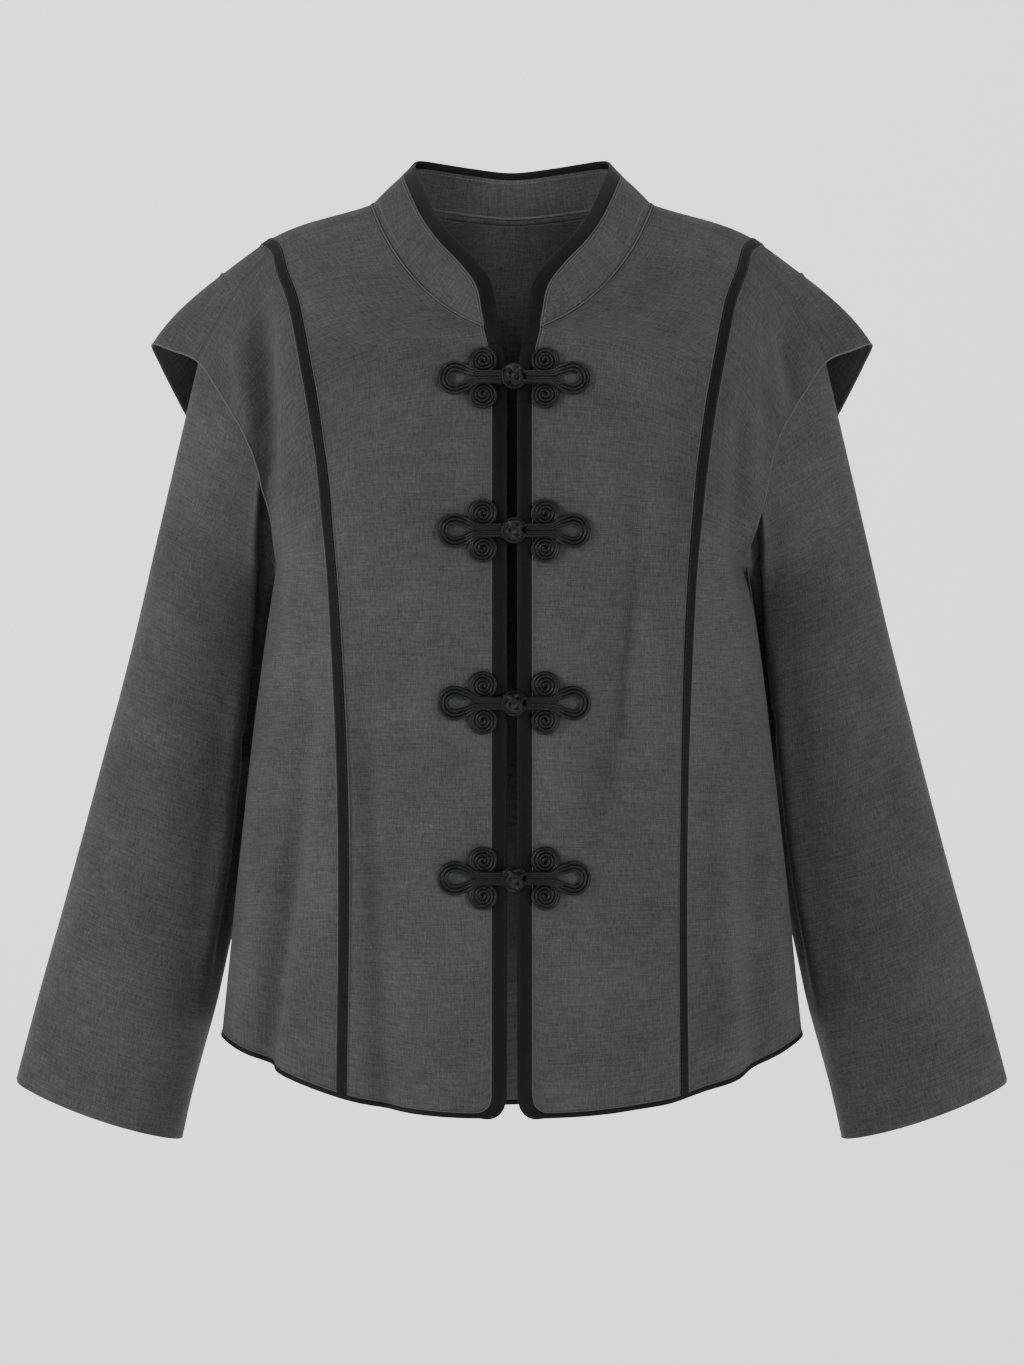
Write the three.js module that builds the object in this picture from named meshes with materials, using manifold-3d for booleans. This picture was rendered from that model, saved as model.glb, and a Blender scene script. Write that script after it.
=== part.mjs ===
// A mandarin collar blouse, hip length, as it hangs when it is filled out: open down the front with
// four pairs of frogs, shoulder caps that lie loose over wide straight sleeves, and black binding.
// Millimetres, +Z up. The front faces -Y, the wearer's left is +X, and the origin is the middle of
// the neck at the height where the shoulder meets the collar.
import * as THREE from 'three';
import { mergeVertices } from 'three/addons/utils/BufferGeometryUtils.js';
import Module from 'manifold-3d';

// Driving sizes
const CLOTH = 1.5; // thickness of the cloth
const SEAM_GAP = 0.3; // between two pieces at a seam
const BINDING = { edge: 10.3, hem: 3, thickness: 2.1, proud: 0.3 };
const TAPE = { width: 8.4, thickness: 0.9, clear: 0.9 };
const FRONT_EDGE = 13.9; // from the middle to the cloth's edge at the front
const HEM = { half: 218, front: -672.6, frontRise: 52, back: -680.6, backRise: 60, power: 2.55 };
const HEM_CORNER = 13; // radius of the rounded lower front corner
const FROG_HEIGHTS = [-135.3, -247.6, -373.1, -500.8];
const FROG_MIDDLE = 1.5; // the frogs' knots sit a little to the wearer's left of the middle
const SLEEVE_POINTS = 24; // round each section of a sleeve
const COLLAR_STEPS = 3; // up the collar

const SIDES = [
  { name: 'left', sign: 1 },
  { name: 'right', sign: -1 },
];

// The body's sections, a row for each: the inner line (front edge or neckline), the princess seam and
// the outer line (side seam or cap edge), each as distance from the middle, depth and height.
// turn: how far the cloth has turned round the side there; fall: how much it drops at the cap's edge.
const FRONT_ROWS = [
  { inner: [13.9, -121, -672], princess: [124.8, -96, -660], outer: [218.0, 10, -620.6], turn: 1 },
  { inner: [13.9, -116, -515.3], princess: [123.6, -93, -516.2], outer: [208.0, 10, -520.4], turn: 1 },
  { inner: [13.9, -114, -428.9], princess: [125.0, -92, -429.6], outer: [198.1, 10, -431.2], turn: 1 },
  { inner: [13.9, -115, -341.5], princess: [128.5, -95, -341.7], outer: [187.4, 8, -341.0], turn: 1 },
  { inner: [13.9, -116, -274.5], princess: [132.1, -97, -275.8], outer: [176.9, -2, -272.0], turn: 0.9 },
  { inner: [13.9, -113, -232.6], princess: [135.8, -96.5, -235], outer: [180.0, -34, -253.9], turn: 0.4 },
  { inner: [13.9, -106, -188.6], princess: [139.3, -93, -201.7], outer: [183.8, -48, -235.5], turn: 0.1 },
  { inner: [14.0, -93, -145.1], princess: [143.3, -88, -172.2], outer: [187.9, -55, -218.0] },
  { inner: [15.8, -82, -116.0], princess: [146.4, -83, -152.4], outer: [189.8, -57, -207.2] },
  { inner: [20.0, -72, -96.3], princess: [150.1, -77, -132.4], outer: [192.7, -56, -193.3] },
  { inner: [39.1, -68, -86.8], princess: [153.2, -71, -116.4], outer: [195.3, -54, -183.4] },
  { inner: [56.1, -63, -75.2], princess: [157.0, -62, -97.1], outer: [200.8, -50, -169.7] },
  { inner: [76.1, -52, -54.6], princess: [162.6, -47, -73.4], outer: [207.7, -44, -158.2] },
  { inner: [92.1, -36, -30.6], princess: [170.8, -28, -52.2], outer: [219.5, -32, -139.4], fall: 0.1 },
  { inner: [103.2, -12, -6.1], princess: [176.7, -6, -33.0], outer: [235.2, -14, -117.8], fall: 0.3 },
];
const BACK_ROWS = [
  { inner: [105.0, 2, 0.5], princess: [184.8, 12, -26.5], outer: [256.5, 4, -108.0], fall: 0.5 },
  { inner: [101.0, 18, 2], princess: [186.0, 30, -30], outer: [271.5, 20, -103.0], fall: 0.6 },
  { inner: [88.0, 33, 0], princess: [184.5, 46, -41], outer: [267.0, 37, -116.0], fall: 0.5 },
  { inner: [65.0, 46, -4], princess: [180.0, 61, -55], outer: [258.5, 51, -134.0], fall: 0.3 },
  { inner: [35.0, 54, -8], princess: [175.0, 72, -69], outer: [249.5, 63, -152.0], fall: 0.1 },
  { inner: [0, 57, -10.5], princess: [170.0, 81, -84], outer: [240.0, 72, -169.0] },
  { inner: [0, 76, -50], princess: [161.0, 92, -115], outer: [226.0, 81, -190.0] },
  { inner: [0, 90, -100], princess: [152.0, 98, -152], outer: [212.0, 87, -210.0] },
  { inner: [0, 97, -150], princess: [145.0, 100, -190], outer: [200.0, 85, -230.0], turn: 0.1 },
  { inner: [0, 99, -205], princess: [139.0, 98, -230], outer: [188.0, 68, -250.0], turn: 0.4 },
  { inner: [0, 97, -272], princess: [134.0, 92, -273], outer: [176.9, -2, -272.0], turn: 0.9 },
  { inner: [0, 93, -341], princess: [131.0, 85, -341], outer: [187.4, 8, -341.0], turn: 1 },
  { inner: [0, 92, -431], princess: [130.0, 84, -431], outer: [198.1, 10, -431.2], turn: 1 },
  { inner: [0, 99, -520], princess: [132.0, 91, -520], outer: [208.0, 10, -520.4], turn: 1 },
  { inner: [0, 108, -680.6], princess: [136.0, 98, -662], outer: [218.0, 10, -620.6], turn: 1 },
];
const ROWS = [...FRONT_ROWS, ...BACK_ROWS];

// Numbers of the rows above where something happens
const ROW = { hem: 0, underarm: 4, neck: 9, shoulder: 14, backNeck: 20, backUnderarm: 25, backHem: 29 };
const OPEN_EDGE_ROWS = [ROW.underarm, ROW.backUnderarm];
const NECK_ROWS = [ROW.neck, ROW.backNeck];

// The largest folds. x is + towards the wearer's left, at the fold's upper and lower end; z is the
// height of its two ends; width is the half width there; rise is + for a ridge and - for a trough.
const FOLDS = [
  { face: 'front', x: [-183, -176], z: [-60, -290], width: [9, 8], rise: -4.5 },
  { face: 'front', x: [-142, -196], z: [-330, -700], width: [8, 12], rise: -5 },
  { face: 'front', x: [-118, -92], z: [-170, -700], width: [13, 17], rise: -4 },
  { face: 'front', x: [-52, -46], z: [-230, -700], width: [16, 20], rise: 2.5 },
  { face: 'front', x: [-205, -196], z: [-85, -175], width: [9, 8], rise: 2 },
  { face: 'front', x: [104, 62], z: [-130, -520], width: [10, 14], rise: -4.5 },
  { face: 'front', x: [116, 112], z: [-250, -700], width: [11, 14], rise: 3 },
  { face: 'front', x: [152, 160], z: [-330, -700], width: [11, 14], rise: 3.5 },
  { face: 'front', x: [166, 172], z: [-140, -300], width: [7, 8], rise: -4.5 },
  { face: 'front', x: [199, 212], z: [-74, -160], width: [7, 6], rise: -3 },
  { face: 'front', x: [178, 184], z: [-360, -700], width: [8, 12], rise: -3 },
  { face: 'back', x: [-150, -164], z: [-300, -720], width: [12, 18], rise: -5 },
  { face: 'back', x: [-92, -104], z: [-260, -720], width: [18, 26], rise: 4 },
  { face: 'back', x: [-38, -46], z: [-340, -720], width: [16, 24], rise: -4.5 },
  { face: 'back', x: [26, 30], z: [-300, -720], width: [18, 26], rise: 4 },
  { face: 'back', x: [80, 92], z: [-330, -720], width: [16, 22], rise: -5 },
  { face: 'back', x: [136, 150], z: [-280, -720], width: [14, 20], rise: 4 },
];

// The sleeve's sections from the cuff up: the point away from the body and the point next to it, each
// as distance from the middle and height, with the section's depth position and half depth.
const SLEEVE_ROWS = [
  { away: [375.6, -660.2], near: [250.3, -703.4], y: 52, half: 48 },
  { away: [357.5, -591.8], near: [235.0, -633.5], y: 52, half: 48 },
  { away: [338.4, -523.4], near: [220.3, -568.7], y: 51, half: 48 },
  { away: [320.1, -455.0], near: [206.5, -501.8], y: 50, half: 47 },
  { away: [302.4, -386.6], near: [196.5, -425.8], y: 47, half: 46 },
  { away: [284.6, -318.4], near: [187.0, -351.9], y: 40, half: 44 },
  { away: [268.4, -250.3], near: [178.6, -291.4], y: 32, half: 40 },
];
const CUFF_BOW = 4; // how much lower the cuff hangs in front than at its sides

// Where the sleeve's head lies, from the top of the shoulder down to the underarm, as row numbers of
// the body. beyond: past the cap's edge (-: back under the cap); depth: above the cloth (-: beneath).
const HEAD_FRONT = [
  { row: 16, beyond: -68, depth: -2.2 },
  { row: 15, beyond: -60, depth: -2.2 },
  { row: 14, beyond: -50, depth: -2.2 },
  { row: 13, beyond: -38, depth: -2.2 },
  { row: 12, beyond: -27, depth: -2.2 },
  { row: 11, beyond: -19, depth: -2.2 },
  { row: 10, beyond: -13, depth: -2.2 },
  { row: 9, beyond: -9, depth: -2.2 },
  { row: 8, beyond: -7, depth: -2.2 },
  { row: 7, beyond: -4, depth: -2.3 },
  { row: 6, beyond: 1.2, depth: -2.3 },
  { row: 5, beyond: 1.4, depth: -0.6 },
  { row: 4, beyond: 1.6, depth: 1.5 },
];
const HEAD_BACK = [
  { row: 16.8, beyond: -68, depth: -2.3 },
  { row: 17.6, beyond: -63, depth: -2.4 },
  { row: 18.4, beyond: -54, depth: -2.2 },
  { row: 19.2, beyond: -44, depth: -2.2 },
  { row: 20, beyond: -34, depth: -2.2 },
  { row: 20.8, beyond: -24, depth: -2.3 },
  { row: 21.6, beyond: -16, depth: -2.6 },
  { row: 22.4, beyond: -9, depth: -3.4 },
  { row: 23.2, beyond: 0.5, depth: -3.6 },
  { row: 23.8, beyond: 3, depth: -2.6 },
  { row: 24.4, beyond: 1.6, depth: -0.2 },
];

// The collar's upper cloth edge, for each body row from the front of the neck round to the back.
const COLLAR_TOP = [
  [20.8, -70.6, -91.6],
  [27.9, -63, -66.7],
  [42.0, -53, -50.4],
  [56.4, -41, -31.0],
  [67.6, -25, -10.2],
  [75.9, -7, 9.6],
  [80.4, 10, 21.5],
  [78.5, 24, 25.8],
  [70.6, 36, 27.0],
  [54.6, 45, 25.3],
  [30.4, 50, 22.0],
  [0, 52, 19.0],
];

const CLOTH_GREY = new THREE.MeshStandardMaterial({ color: 0x48484a, roughness: 0.92, metalness: 0 });
const BLACK_TRIM = new THREE.MeshStandardMaterial({ color: 0x19191b, roughness: 0.6, metalness: 0 });

const wasm = await Module();
wasm.setup();

function smooth(value) {
  const t = Math.min(1, Math.max(0, value));
  return t * t * (3 - 2 * t);
}

// A smooth line through points, with a corner where it is asked for; read by row number.
function seamLine(points, corners) {
  const breaks = [0, ...corners, points.length - 1];
  const pieces = [];
  for (let i = 0; i + 1 < breaks.length; i += 1) {
    const run = points.slice(breaks[i], breaks[i + 1] + 1).map((p) => new THREE.Vector3(...p));
    pieces.push({ from: breaks[i], to: breaks[i + 1], curve: new THREE.CatmullRomCurve3(run, false) });
  }
  return (row) => {
    const piece = pieces.find((p) => row <= p.to) ?? pieces[pieces.length - 1];
    return piece.curve.getPoint((row - piece.from) / (piece.to - piece.from));
  };
}

const innerLine = seamLine(ROWS.map((r) => r.inner), NECK_ROWS);
const princessLine = seamLine(ROWS.map((r) => r.princess), []);
const outerLine = seamLine(ROWS.map((r) => r.outer), OPEN_EDGE_ROWS);

function rowValue(name, row) {
  const below = Math.min(ROWS.length - 2, Math.floor(row));
  const low = ROWS[below][name] ?? 0;
  const high = ROWS[below + 1][name] ?? 0;
  return low + (high - low) * (row - below);
}

function hermite(start, startDir, end, endDir, t) {
  const length = start.distanceTo(end);
  const t2 = t * t;
  const t3 = t2 * t;
  return new THREE.Vector3()
    .addScaledVector(start, 2 * t3 - 3 * t2 + 1)
    .addScaledVector(startDir, (t3 - 2 * t2 + t) * length)
    .addScaledVector(end, 3 * t2 - 2 * t3)
    .addScaledVector(endDir, (t3 - t2) * length);
}

function hemHeight(x, isFront) {
  const out = Math.abs(x);
  const curve = Math.pow(out / HEM.half, HEM.power);
  if (!isFront) {
    return HEM.back + HEM.backRise * curve;
  }
  const toCorner = Math.max(0, HEM_CORNER - (out - FRONT_EDGE));
  const lift = HEM_CORNER - Math.sqrt(Math.max(0, HEM_CORNER ** 2 - toCorner ** 2));
  return HEM.front + HEM.frontRise * curve + lift;
}

// The smooth body before its folds: u runs from the inner line (0) over the princess seam (1) to the
// outer line (2), and row runs from the front hem over the shoulder to the back hem.
function smoothBody(u, row) {
  const isFront = row <= ROW.shoulder;
  const inner = innerLine(row);
  const princess = princessLine(row);
  const outer = outerLine(row);
  const first = princess.clone().sub(inner).normalize();
  const second = outer.clone().sub(princess).normalize();
  const middle = first.clone().add(second).normalize();
  let point;
  if (u <= 1) {
    const fromNeck = isFront ? row - (ROW.neck - 1) : ROW.backNeck + 1 - row;
    const neckShare = smooth(fromNeck / 2);
    const innerDir = new THREE.Vector3(first.x, first.y * neckShare, first.z * neckShare).normalize();
    point = hermite(inner, innerDir, princess, middle, u);
  } else {
    const turned = new THREE.Vector3(0, isFront ? 1 : -1, 0);
    const outerDir = second.clone().lerp(turned, rowValue('turn', row));
    outerDir.z -= rowValue('fall', row);
    point = hermite(princess, middle, outer, outerDir.normalize(), u - 1);
  }
  const toHem = isFront ? 1 - row : row - (ROW.backHem - 1);
  if (toHem > 0) {
    const start = smoothBody(u, isFront ? 1 : ROW.backHem - 1);
    point.z = start.z + (hemHeight(point.x, isFront) - start.z) * toHem;
  }
  return point;
}

function foldRise(x, z, isFront) {
  let rise = 0;
  for (const fold of FOLDS) {
    const t = (z - fold.z[0]) / (fold.z[1] - fold.z[0]);
    if ((fold.face === 'front') === isFront && t > 0 && t < 1) {
      const middle = fold.x[0] + (fold.x[1] - fold.x[0]) * t;
      const width = fold.width[0] + (fold.width[1] - fold.width[0]) * t;
      const ends = fold.z[1] < HEM.front ? 1 : smooth((1 - t) * 3);
      rise += fold.rise * smooth(t * 2) * ends * Math.exp(-(((x - middle) / width) ** 2));
    }
  }
  return rise;
}

function normalOf(surface, side, u, row, uMax) {
  const du = 0.01;
  const dRow = 0.02;
  const uLow = Math.max(0, u - du);
  const uHigh = Math.min(uMax, u + du);
  const rowLow = Math.max(ROW.hem, row - dRow);
  const rowHigh = Math.min(ROW.backHem, row + dRow);
  const across = surface(uHigh, row).sub(surface(uLow, row));
  const along = surface(u, rowHigh).sub(surface(u, rowLow));
  return across.cross(along).normalize().multiplyScalar(side.sign);
}

// A point of the cloth's outer face with its folds, and the direction that the cloth faces there.
function clothPoint(side, u, row) {
  const mirrored = (a, b) => {
    const p = smoothBody(a, b);
    p.x *= side.sign;
    return p;
  };
  const folded = (a, b) => {
    const base = mirrored(a, b);
    const rise = foldRise(base.x, base.z, b <= ROW.shoulder);
    return rise === 0 ? base : base.addScaledVector(normalOf(mirrored, side, a, b, 2), rise);
  };
  return { point: folded(u, row), normal: normalOf(folded, side, u, row, 2) };
}

// Makes one closed wall from grids of points with normals: the points are its outer face, and the
// inner face lies one thickness behind them. Grids that share points are joined there.
function wall(grids, thickness) {
  const ids = new Map();
  const points = [];
  const normals = [];
  const faces = [];
  const idOf = ({ point, normal }) => {
    const key = point.toArray().map((v) => Math.round(v * 1000)).join();
    if (!ids.has(key)) {
      ids.set(key, points.length);
      points.push(point);
      normals.push(normal);
    }
    return ids.get(key);
  };
  const facing = ([a, b, c]) => {
    const edge = points[b].clone().sub(points[a]);
    return edge.cross(points[c].clone().sub(points[a])).dot(normals[a]);
  };
  for (const grid of grids) {
    const cells = grid.map((line) => line.map(idOf));
    const found = [];
    for (let i = 0; i + 1 < cells.length; i += 1) {
      for (let j = 0; j + 1 < cells[i].length; j += 1) {
        found.push([cells[i][j], cells[i][j + 1], cells[i + 1][j + 1]]);
        found.push([cells[i][j], cells[i + 1][j + 1], cells[i + 1][j]]);
      }
    }
    const whole = found.filter((face) => new Set(face).size === 3);
    const outward = whole.reduce((sum, face) => sum + facing(face), 0) > 0;
    faces.push(...whole.map(([a, b, c]) => (outward ? [a, b, c] : [a, c, b])));
  }
  const count = points.length;
  const inner = points.map((p, i) => p.clone().addScaledVector(normals[i], -thickness));
  const edges = new Set(faces.flatMap(([a, b, c]) => [`${a},${b}`, `${b},${c}`, `${c},${a}`]));
  const triangles = [];
  for (const [a, b, c] of faces) {
    triangles.push(a, b, c, a + count, c + count, b + count);
    for (const [from, to] of [[a, b], [b, c], [c, a]]) {
      if (!edges.has(`${to},${from}`)) {
        triangles.push(from, to + count, to, from, from + count, to + count);
      }
    }
  }
  const geometry = new THREE.BufferGeometry();
  geometry.setAttribute('position', new THREE.Float32BufferAttribute(
    [...points, ...inner].flatMap((p) => p.toArray()), 3));
  geometry.setIndex(triangles);
  return geometry;
}

const blouse = new THREE.Group();

function addPiece(name, geometry, material) {
  geometry.computeVertexNormals();
  const mesh = new THREE.Mesh(geometry, material);
  mesh.name = name;
  blouse.add(mesh);
}

// A panel's grid between two seams, held back from each seam by half the gap. columns are shares of
// the way across and rows are row numbers; uFrom and uTo are the seams that it runs between.
function panelGrid(side, uFrom, uTo, rows, columns, heldBack) {
  return rows.map((row) => {
    const reach = smoothBody(uFrom, row).distanceTo(smoothBody(uTo, row));
    const start = uFrom + (heldBack.from * (uTo - uFrom)) / reach;
    const end = uTo - (heldBack.to * (uTo - uFrom)) / reach;
    return columns.map((share) => clothPoint(side, start + (end - start) * share, row));
  });
}

const HALF_GAP = SEAM_GAP / 2;
const ROW_GAP = 0.012; // half the shoulder seam's gap, in rows
const FRONT_PANEL_ROWS = [
  0, 0.33, 0.66, 1, 1.5, 2, 2.5, 3, 3.5, 4, 5, 6, 7, 8, 9, 10, 11, 12, 13, ROW.shoulder - ROW_GAP,
];
const BACK_PANEL_ROWS = [
  ROW.shoulder + ROW_GAP, 15, 16, 17, 18, 19, 20, 21, 22, 23, 24, 25, 25.5, 26, 26.5, 27, 27.5, 28,
  28.33, 28.66, 29,
];
const FRONT_COLUMNS = [0, 0.015, 0.05, 0.11, 0.25, 0.39, 0.53, 0.67, 0.83, 1];
const BACK_COLUMNS = [0, 0.17, 0.34, 0.5, 0.66, 0.83, 1];
const SIDE_COLUMNS = [0, 0.17, 0.34, 0.5, 0.66, 0.83, 1];

// Fronts and backs: a centre piece to the princess seam, and a side piece cut in one with its cap
for (const side of SIDES) {
  const toSeam = { from: 0, to: HALF_GAP };
  const fromSeam = { from: HALF_GAP, to: HALF_GAP };
  const centre = panelGrid(side, 0, 1, FRONT_PANEL_ROWS, FRONT_COLUMNS, toSeam);
  const sideFront = panelGrid(side, 1, 2, FRONT_PANEL_ROWS, SIDE_COLUMNS, fromSeam);
  const sideBack = panelGrid(side, 1, 2, BACK_PANEL_ROWS, SIDE_COLUMNS, fromSeam);
  addPiece(`front_centre_${side.name}`, wall([centre], CLOTH), CLOTH_GREY);
  addPiece(`front_side_${side.name}`, wall([sideFront], CLOTH), CLOTH_GREY);
  addPiece(`back_side_${side.name}`, wall([sideBack], CLOTH), CLOTH_GREY);
}

const backHalves = SIDES.map((side) =>
  panelGrid(side, 0, 1, BACK_PANEL_ROWS, BACK_COLUMNS, { from: 0, to: HALF_GAP }));
addPiece('back_centre', wall(backHalves, CLOTH), CLOTH_GREY);

// Collar: a standing band from the neckline to its rounded front corners
function neckFrame(side, row) {
  const { point, normal } = clothPoint(side, 0, row);
  const step = 0.03;
  const before = clothPoint(side, 0, Math.max(NECK_ROWS[0], row - step)).point;
  const after = clothPoint(side, 0, Math.min(NECK_ROWS[1], row + step)).point;
  const out = after.sub(before).normalize().cross(normal).normalize();
  return { point, normal, out: out.multiplyScalar(-side.sign) };
}

const collarTop = seamLine(COLLAR_TOP, []);
const COLLAR_BOW = 0.04; // how far the collar bows out between its seam and its top, as a share of that
const COLLAR_GAP = 0.4; // between the collar and the neckline

function collarPoint(side, row, share) {
  const frame = neckFrame(side, row);
  const base = frame.point.clone().addScaledVector(frame.out, COLLAR_GAP);
  const top = collarTop(row - ROW.neck);
  top.x *= side.sign;
  const bow = COLLAR_BOW * base.distanceTo(top) * Math.sin(Math.PI * share);
  const point = base.lerp(top, share);
  const away = new THREE.Vector3(point.x, point.y, 0).normalize();
  point.addScaledVector(away, bow);
  if (row >= NECK_ROWS[1]) point.x = 0;
  return point;
}

function collarFrame(side, row, share) {
  const step = 0.04;
  const rowLow = Math.max(NECK_ROWS[0], row - step);
  const rowHigh = Math.min(NECK_ROWS[1], row + step);
  const along = collarPoint(side, rowHigh, share).sub(collarPoint(side, rowLow, share));
  const high = Math.min(1, share + step);
  const low = Math.max(0, share - step);
  const up = collarPoint(side, row, high).sub(collarPoint(side, row, low));
  const normal = along.clone().cross(up).normalize().multiplyScalar(side.sign);
  if (row >= NECK_ROWS[1]) {
    normal.x = 0;
    normal.normalize();
  }
  return { point: collarPoint(side, row, share), normal };
}

const COLLAR_ROWS = [9, 9.5, 10, 11, 12, 13, 14, 15, 15.5, 16, 16.5, 17, 17.5, 18, 19, 20];
const collarHalves = SIDES.map((side) => COLLAR_ROWS.map((row) =>
  Array.from({ length: COLLAR_STEPS + 1 }, (_, i) => collarFrame(side, row, i / COLLAR_STEPS))));
addPiece('collar', wall(collarHalves, CLOTH), CLOTH_GREY);

// A flat band beside or on an edge: frames hold a point, its normal and the way out from the edge,
// from and to are how far out the band starts and ends, top and bottom its heights on the normal.
function band(frames) {
  const corner = (f, out, height) =>
    f.point.clone().addScaledVector(f.out, out).addScaledVector(f.normal, height);
  const loops = frames.map((f) => [
    corner(f, f.from, f.bottom), corner(f, f.from, f.top), corner(f, f.to, f.top), corner(f, f.to, f.bottom),
  ]);
  const points = loops.flat();
  const triangles = [];
  const last = loops.length - 1;
  for (let i = 0; i < last; i += 1) {
    for (let j = 0; j < 4; j += 1) {
      const a = i * 4 + j;
      const b = i * 4 + ((j + 1) % 4);
      triangles.push(a, b, b + 4, a, b + 4, a + 4);
    }
  }
  triangles.push(0, 2, 1, 0, 3, 2);
  const end = last * 4;
  triangles.push(end, end + 1, end + 2, end, end + 2, end + 3);
  const f = frames[0];
  const forward = frames[1].point.clone().sub(f.point);
  const inward = f.normal.clone().cross(f.out).dot(forward) < 0;
  if (inward) {
    for (let i = 0; i < triangles.length; i += 3) {
      [triangles[i + 1], triangles[i + 2]] = [triangles[i + 2], triangles[i + 1]];
    }
  }
  const geometry = new THREE.BufferGeometry();
  geometry.setAttribute('position', new THREE.Float32BufferAttribute(points.flatMap((p) => p.toArray()), 3));
  geometry.setIndex(triangles);
  return geometry;
}

// Gives a row of edge points their ways out: square to the edge, in the cloth, away from the panel.
function edgeFrames(points, inside, widths) {
  const top = BINDING.proud;
  const bottom = BINDING.proud - BINDING.thickness;
  return points.map(({ point, normal }, i) => {
    const before = points[Math.max(0, i - 1)].point;
    const after = points[Math.min(points.length - 1, i + 1)].point;
    const out = after.clone().sub(before).cross(normal).normalize();
    if (out.dot(inside[i].clone().sub(point)) > 0) out.negate();
    return { point, normal, out, from: SEAM_GAP, to: SEAM_GAP + widths[i], top, bottom };
  });
}

// Binding down each front edge, round the lower corner and along the hem to the side seam
const CORNER_WIDTHS = [BINDING.edge, 11, 6.8, 3.9]; // at the first places past the corner
const INSIDE_SHARE = 0.1; // a place well inside the panel, beside its front edge
const CORNER_INSIDE_SHARE = 0.15;
const INSIDE_ROWS = 0.3; // the same, above its hem
const HEM_BINDING_END = 0.985; // the hem's binding stops this far to the side seam
for (const side of SIDES) {
  const edge = [];
  const inside = [];
  const widths = [];
  for (const row of [...FRONT_PANEL_ROWS].reverse()) {
    if (row > 0 && row <= ROW.neck) {
      edge.push(clothPoint(side, 0, row));
      inside.push(clothPoint(side, INSIDE_SHARE, row).point);
      widths.push(BINDING.edge);
    }
  }
  FRONT_COLUMNS.forEach((share, i) => {
    edge.push(clothPoint(side, share, 0));
    inside.push(clothPoint(side, Math.max(share, CORNER_INSIDE_SHARE), INSIDE_ROWS).point);
    widths.push(CORNER_WIDTHS[i] ?? BINDING.hem);
  });
  SIDE_COLUMNS.slice(1).forEach((share) => {
    const u = 1 + Math.min(share, HEM_BINDING_END);
    edge.push(clothPoint(side, u, 0));
    inside.push(clothPoint(side, u, INSIDE_ROWS).point);
    widths.push(BINDING.hem);
  });
  addPiece(`binding_front_${side.name}`, band(edgeFrames(edge, inside, widths)), BLACK_TRIM);
}

// Binding along the back hem, from side seam to side seam
{
  const edge = [];
  const inside = [];
  const uSteps = [
    ...[...SIDE_COLUMNS].reverse().map((share) => 1 + Math.min(share, HEM_BINDING_END)),
    ...[...BACK_COLUMNS].reverse().slice(1),
  ];
  const walk = [
    ...uSteps.map((u) => [SIDES[1], u]),
    ...[...uSteps].reverse().slice(1).map((u) => [SIDES[0], u]),
  ];
  for (const [side, u] of walk) {
    edge.push(clothPoint(side, u, ROW.backHem));
    inside.push(clothPoint(side, u, ROW.backHem - INSIDE_ROWS).point);
  }
  const widths = edge.map(() => BINDING.hem);
  addPiece('binding_hem_back', band(edgeFrames(edge, inside, widths)), BLACK_TRIM);
}

// Binding round the top of the collar, from one front corner to the other
const COLLAR_CLEAR = 0.6; // more room where the collar's edge turns most
{
  const edge = [];
  const inside = [];
  const walk = [
    ...COLLAR_ROWS.map((row) => [SIDES[1], row]),
    ...[...COLLAR_ROWS].reverse().slice(1).map((row) => [SIDES[0], row]),
  ];
  for (const [side, row] of walk) {
    edge.push(collarFrame(side, row, 1));
    inside.push(collarPoint(side, row, 0));
  }
  const widths = edge.map(() => BINDING.edge);
  const frames = edgeFrames(edge, inside, widths).map((f) => ({ ...f, from: f.from + COLLAR_CLEAR }));
  addPiece('binding_collar', band(frames), BLACK_TRIM);
}

// Flat tape over each princess seam, from the front hem over the shoulder to the back hem
for (const side of SIDES) {
  const rows = [...new Set([...FRONT_PANEL_ROWS, ROW.shoulder, ...BACK_PANEL_ROWS])];
  const step = 0.02;
  const frames = rows.map((row) => {
    const { point, normal } = clothPoint(side, 1, row);
    const after = clothPoint(side, 1, Math.min(ROW.backHem, row + step)).point;
    const before = clothPoint(side, 1, Math.max(ROW.hem, row - step)).point;
    const out = after.sub(before).cross(normal).normalize();
    const half = TAPE.width / 2;
    const top = TAPE.clear + TAPE.thickness;
    return { point, normal, out, from: -half, to: half, bottom: TAPE.clear, top };
  });
  addPiece(`princess_tape_${side.name}`, band(frames), BLACK_TRIM);
}

// Sleeves: wide straight tubes whose heads are set in under the caps
function headPoint(side, { row, beyond, depth }) {
  const u = 2 + Math.min(0, beyond) / smoothBody(1, row).distanceTo(smoothBody(2, row));
  const { point, normal } = clothPoint(side, u, row);
  if (beyond > 0) {
    const isFront = row < ROW.shoulder;
    const step = 0.05;
    const low = isFront ? Math.max(ROW.underarm, row - step) : row - step;
    const high = isFront ? row + step : Math.min(ROW.backUnderarm, row + step);
    const along = clothPoint(side, 2, high).point.sub(clothPoint(side, 2, low).point);
    const out = along.cross(normal).normalize().multiplyScalar(side.sign);
    point.addScaledVector(out, beyond);
  }
  return point.addScaledVector(normal, depth);
}

function sleeveRing(side, section) {
  const [awayX, awayZ] = section.away;
  const [nearX, nearZ] = section.near;
  return Array.from({ length: SLEEVE_POINTS }, (_, i) => {
    const angle = (2 * Math.PI * i) / SLEEVE_POINTS;
    const c = Math.cos(angle);
    const s = Math.sin(angle);
    const x = (awayX + nearX) / 2 + ((awayX - nearX) / 2) * c;
    const z = (awayZ + nearZ) / 2 + ((awayZ - nearZ) / 2) * c - (section.bow ?? 0) * s * s;
    return new THREE.Vector3(side.sign * x, section.y - section.half * s, z);
  });
}

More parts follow.
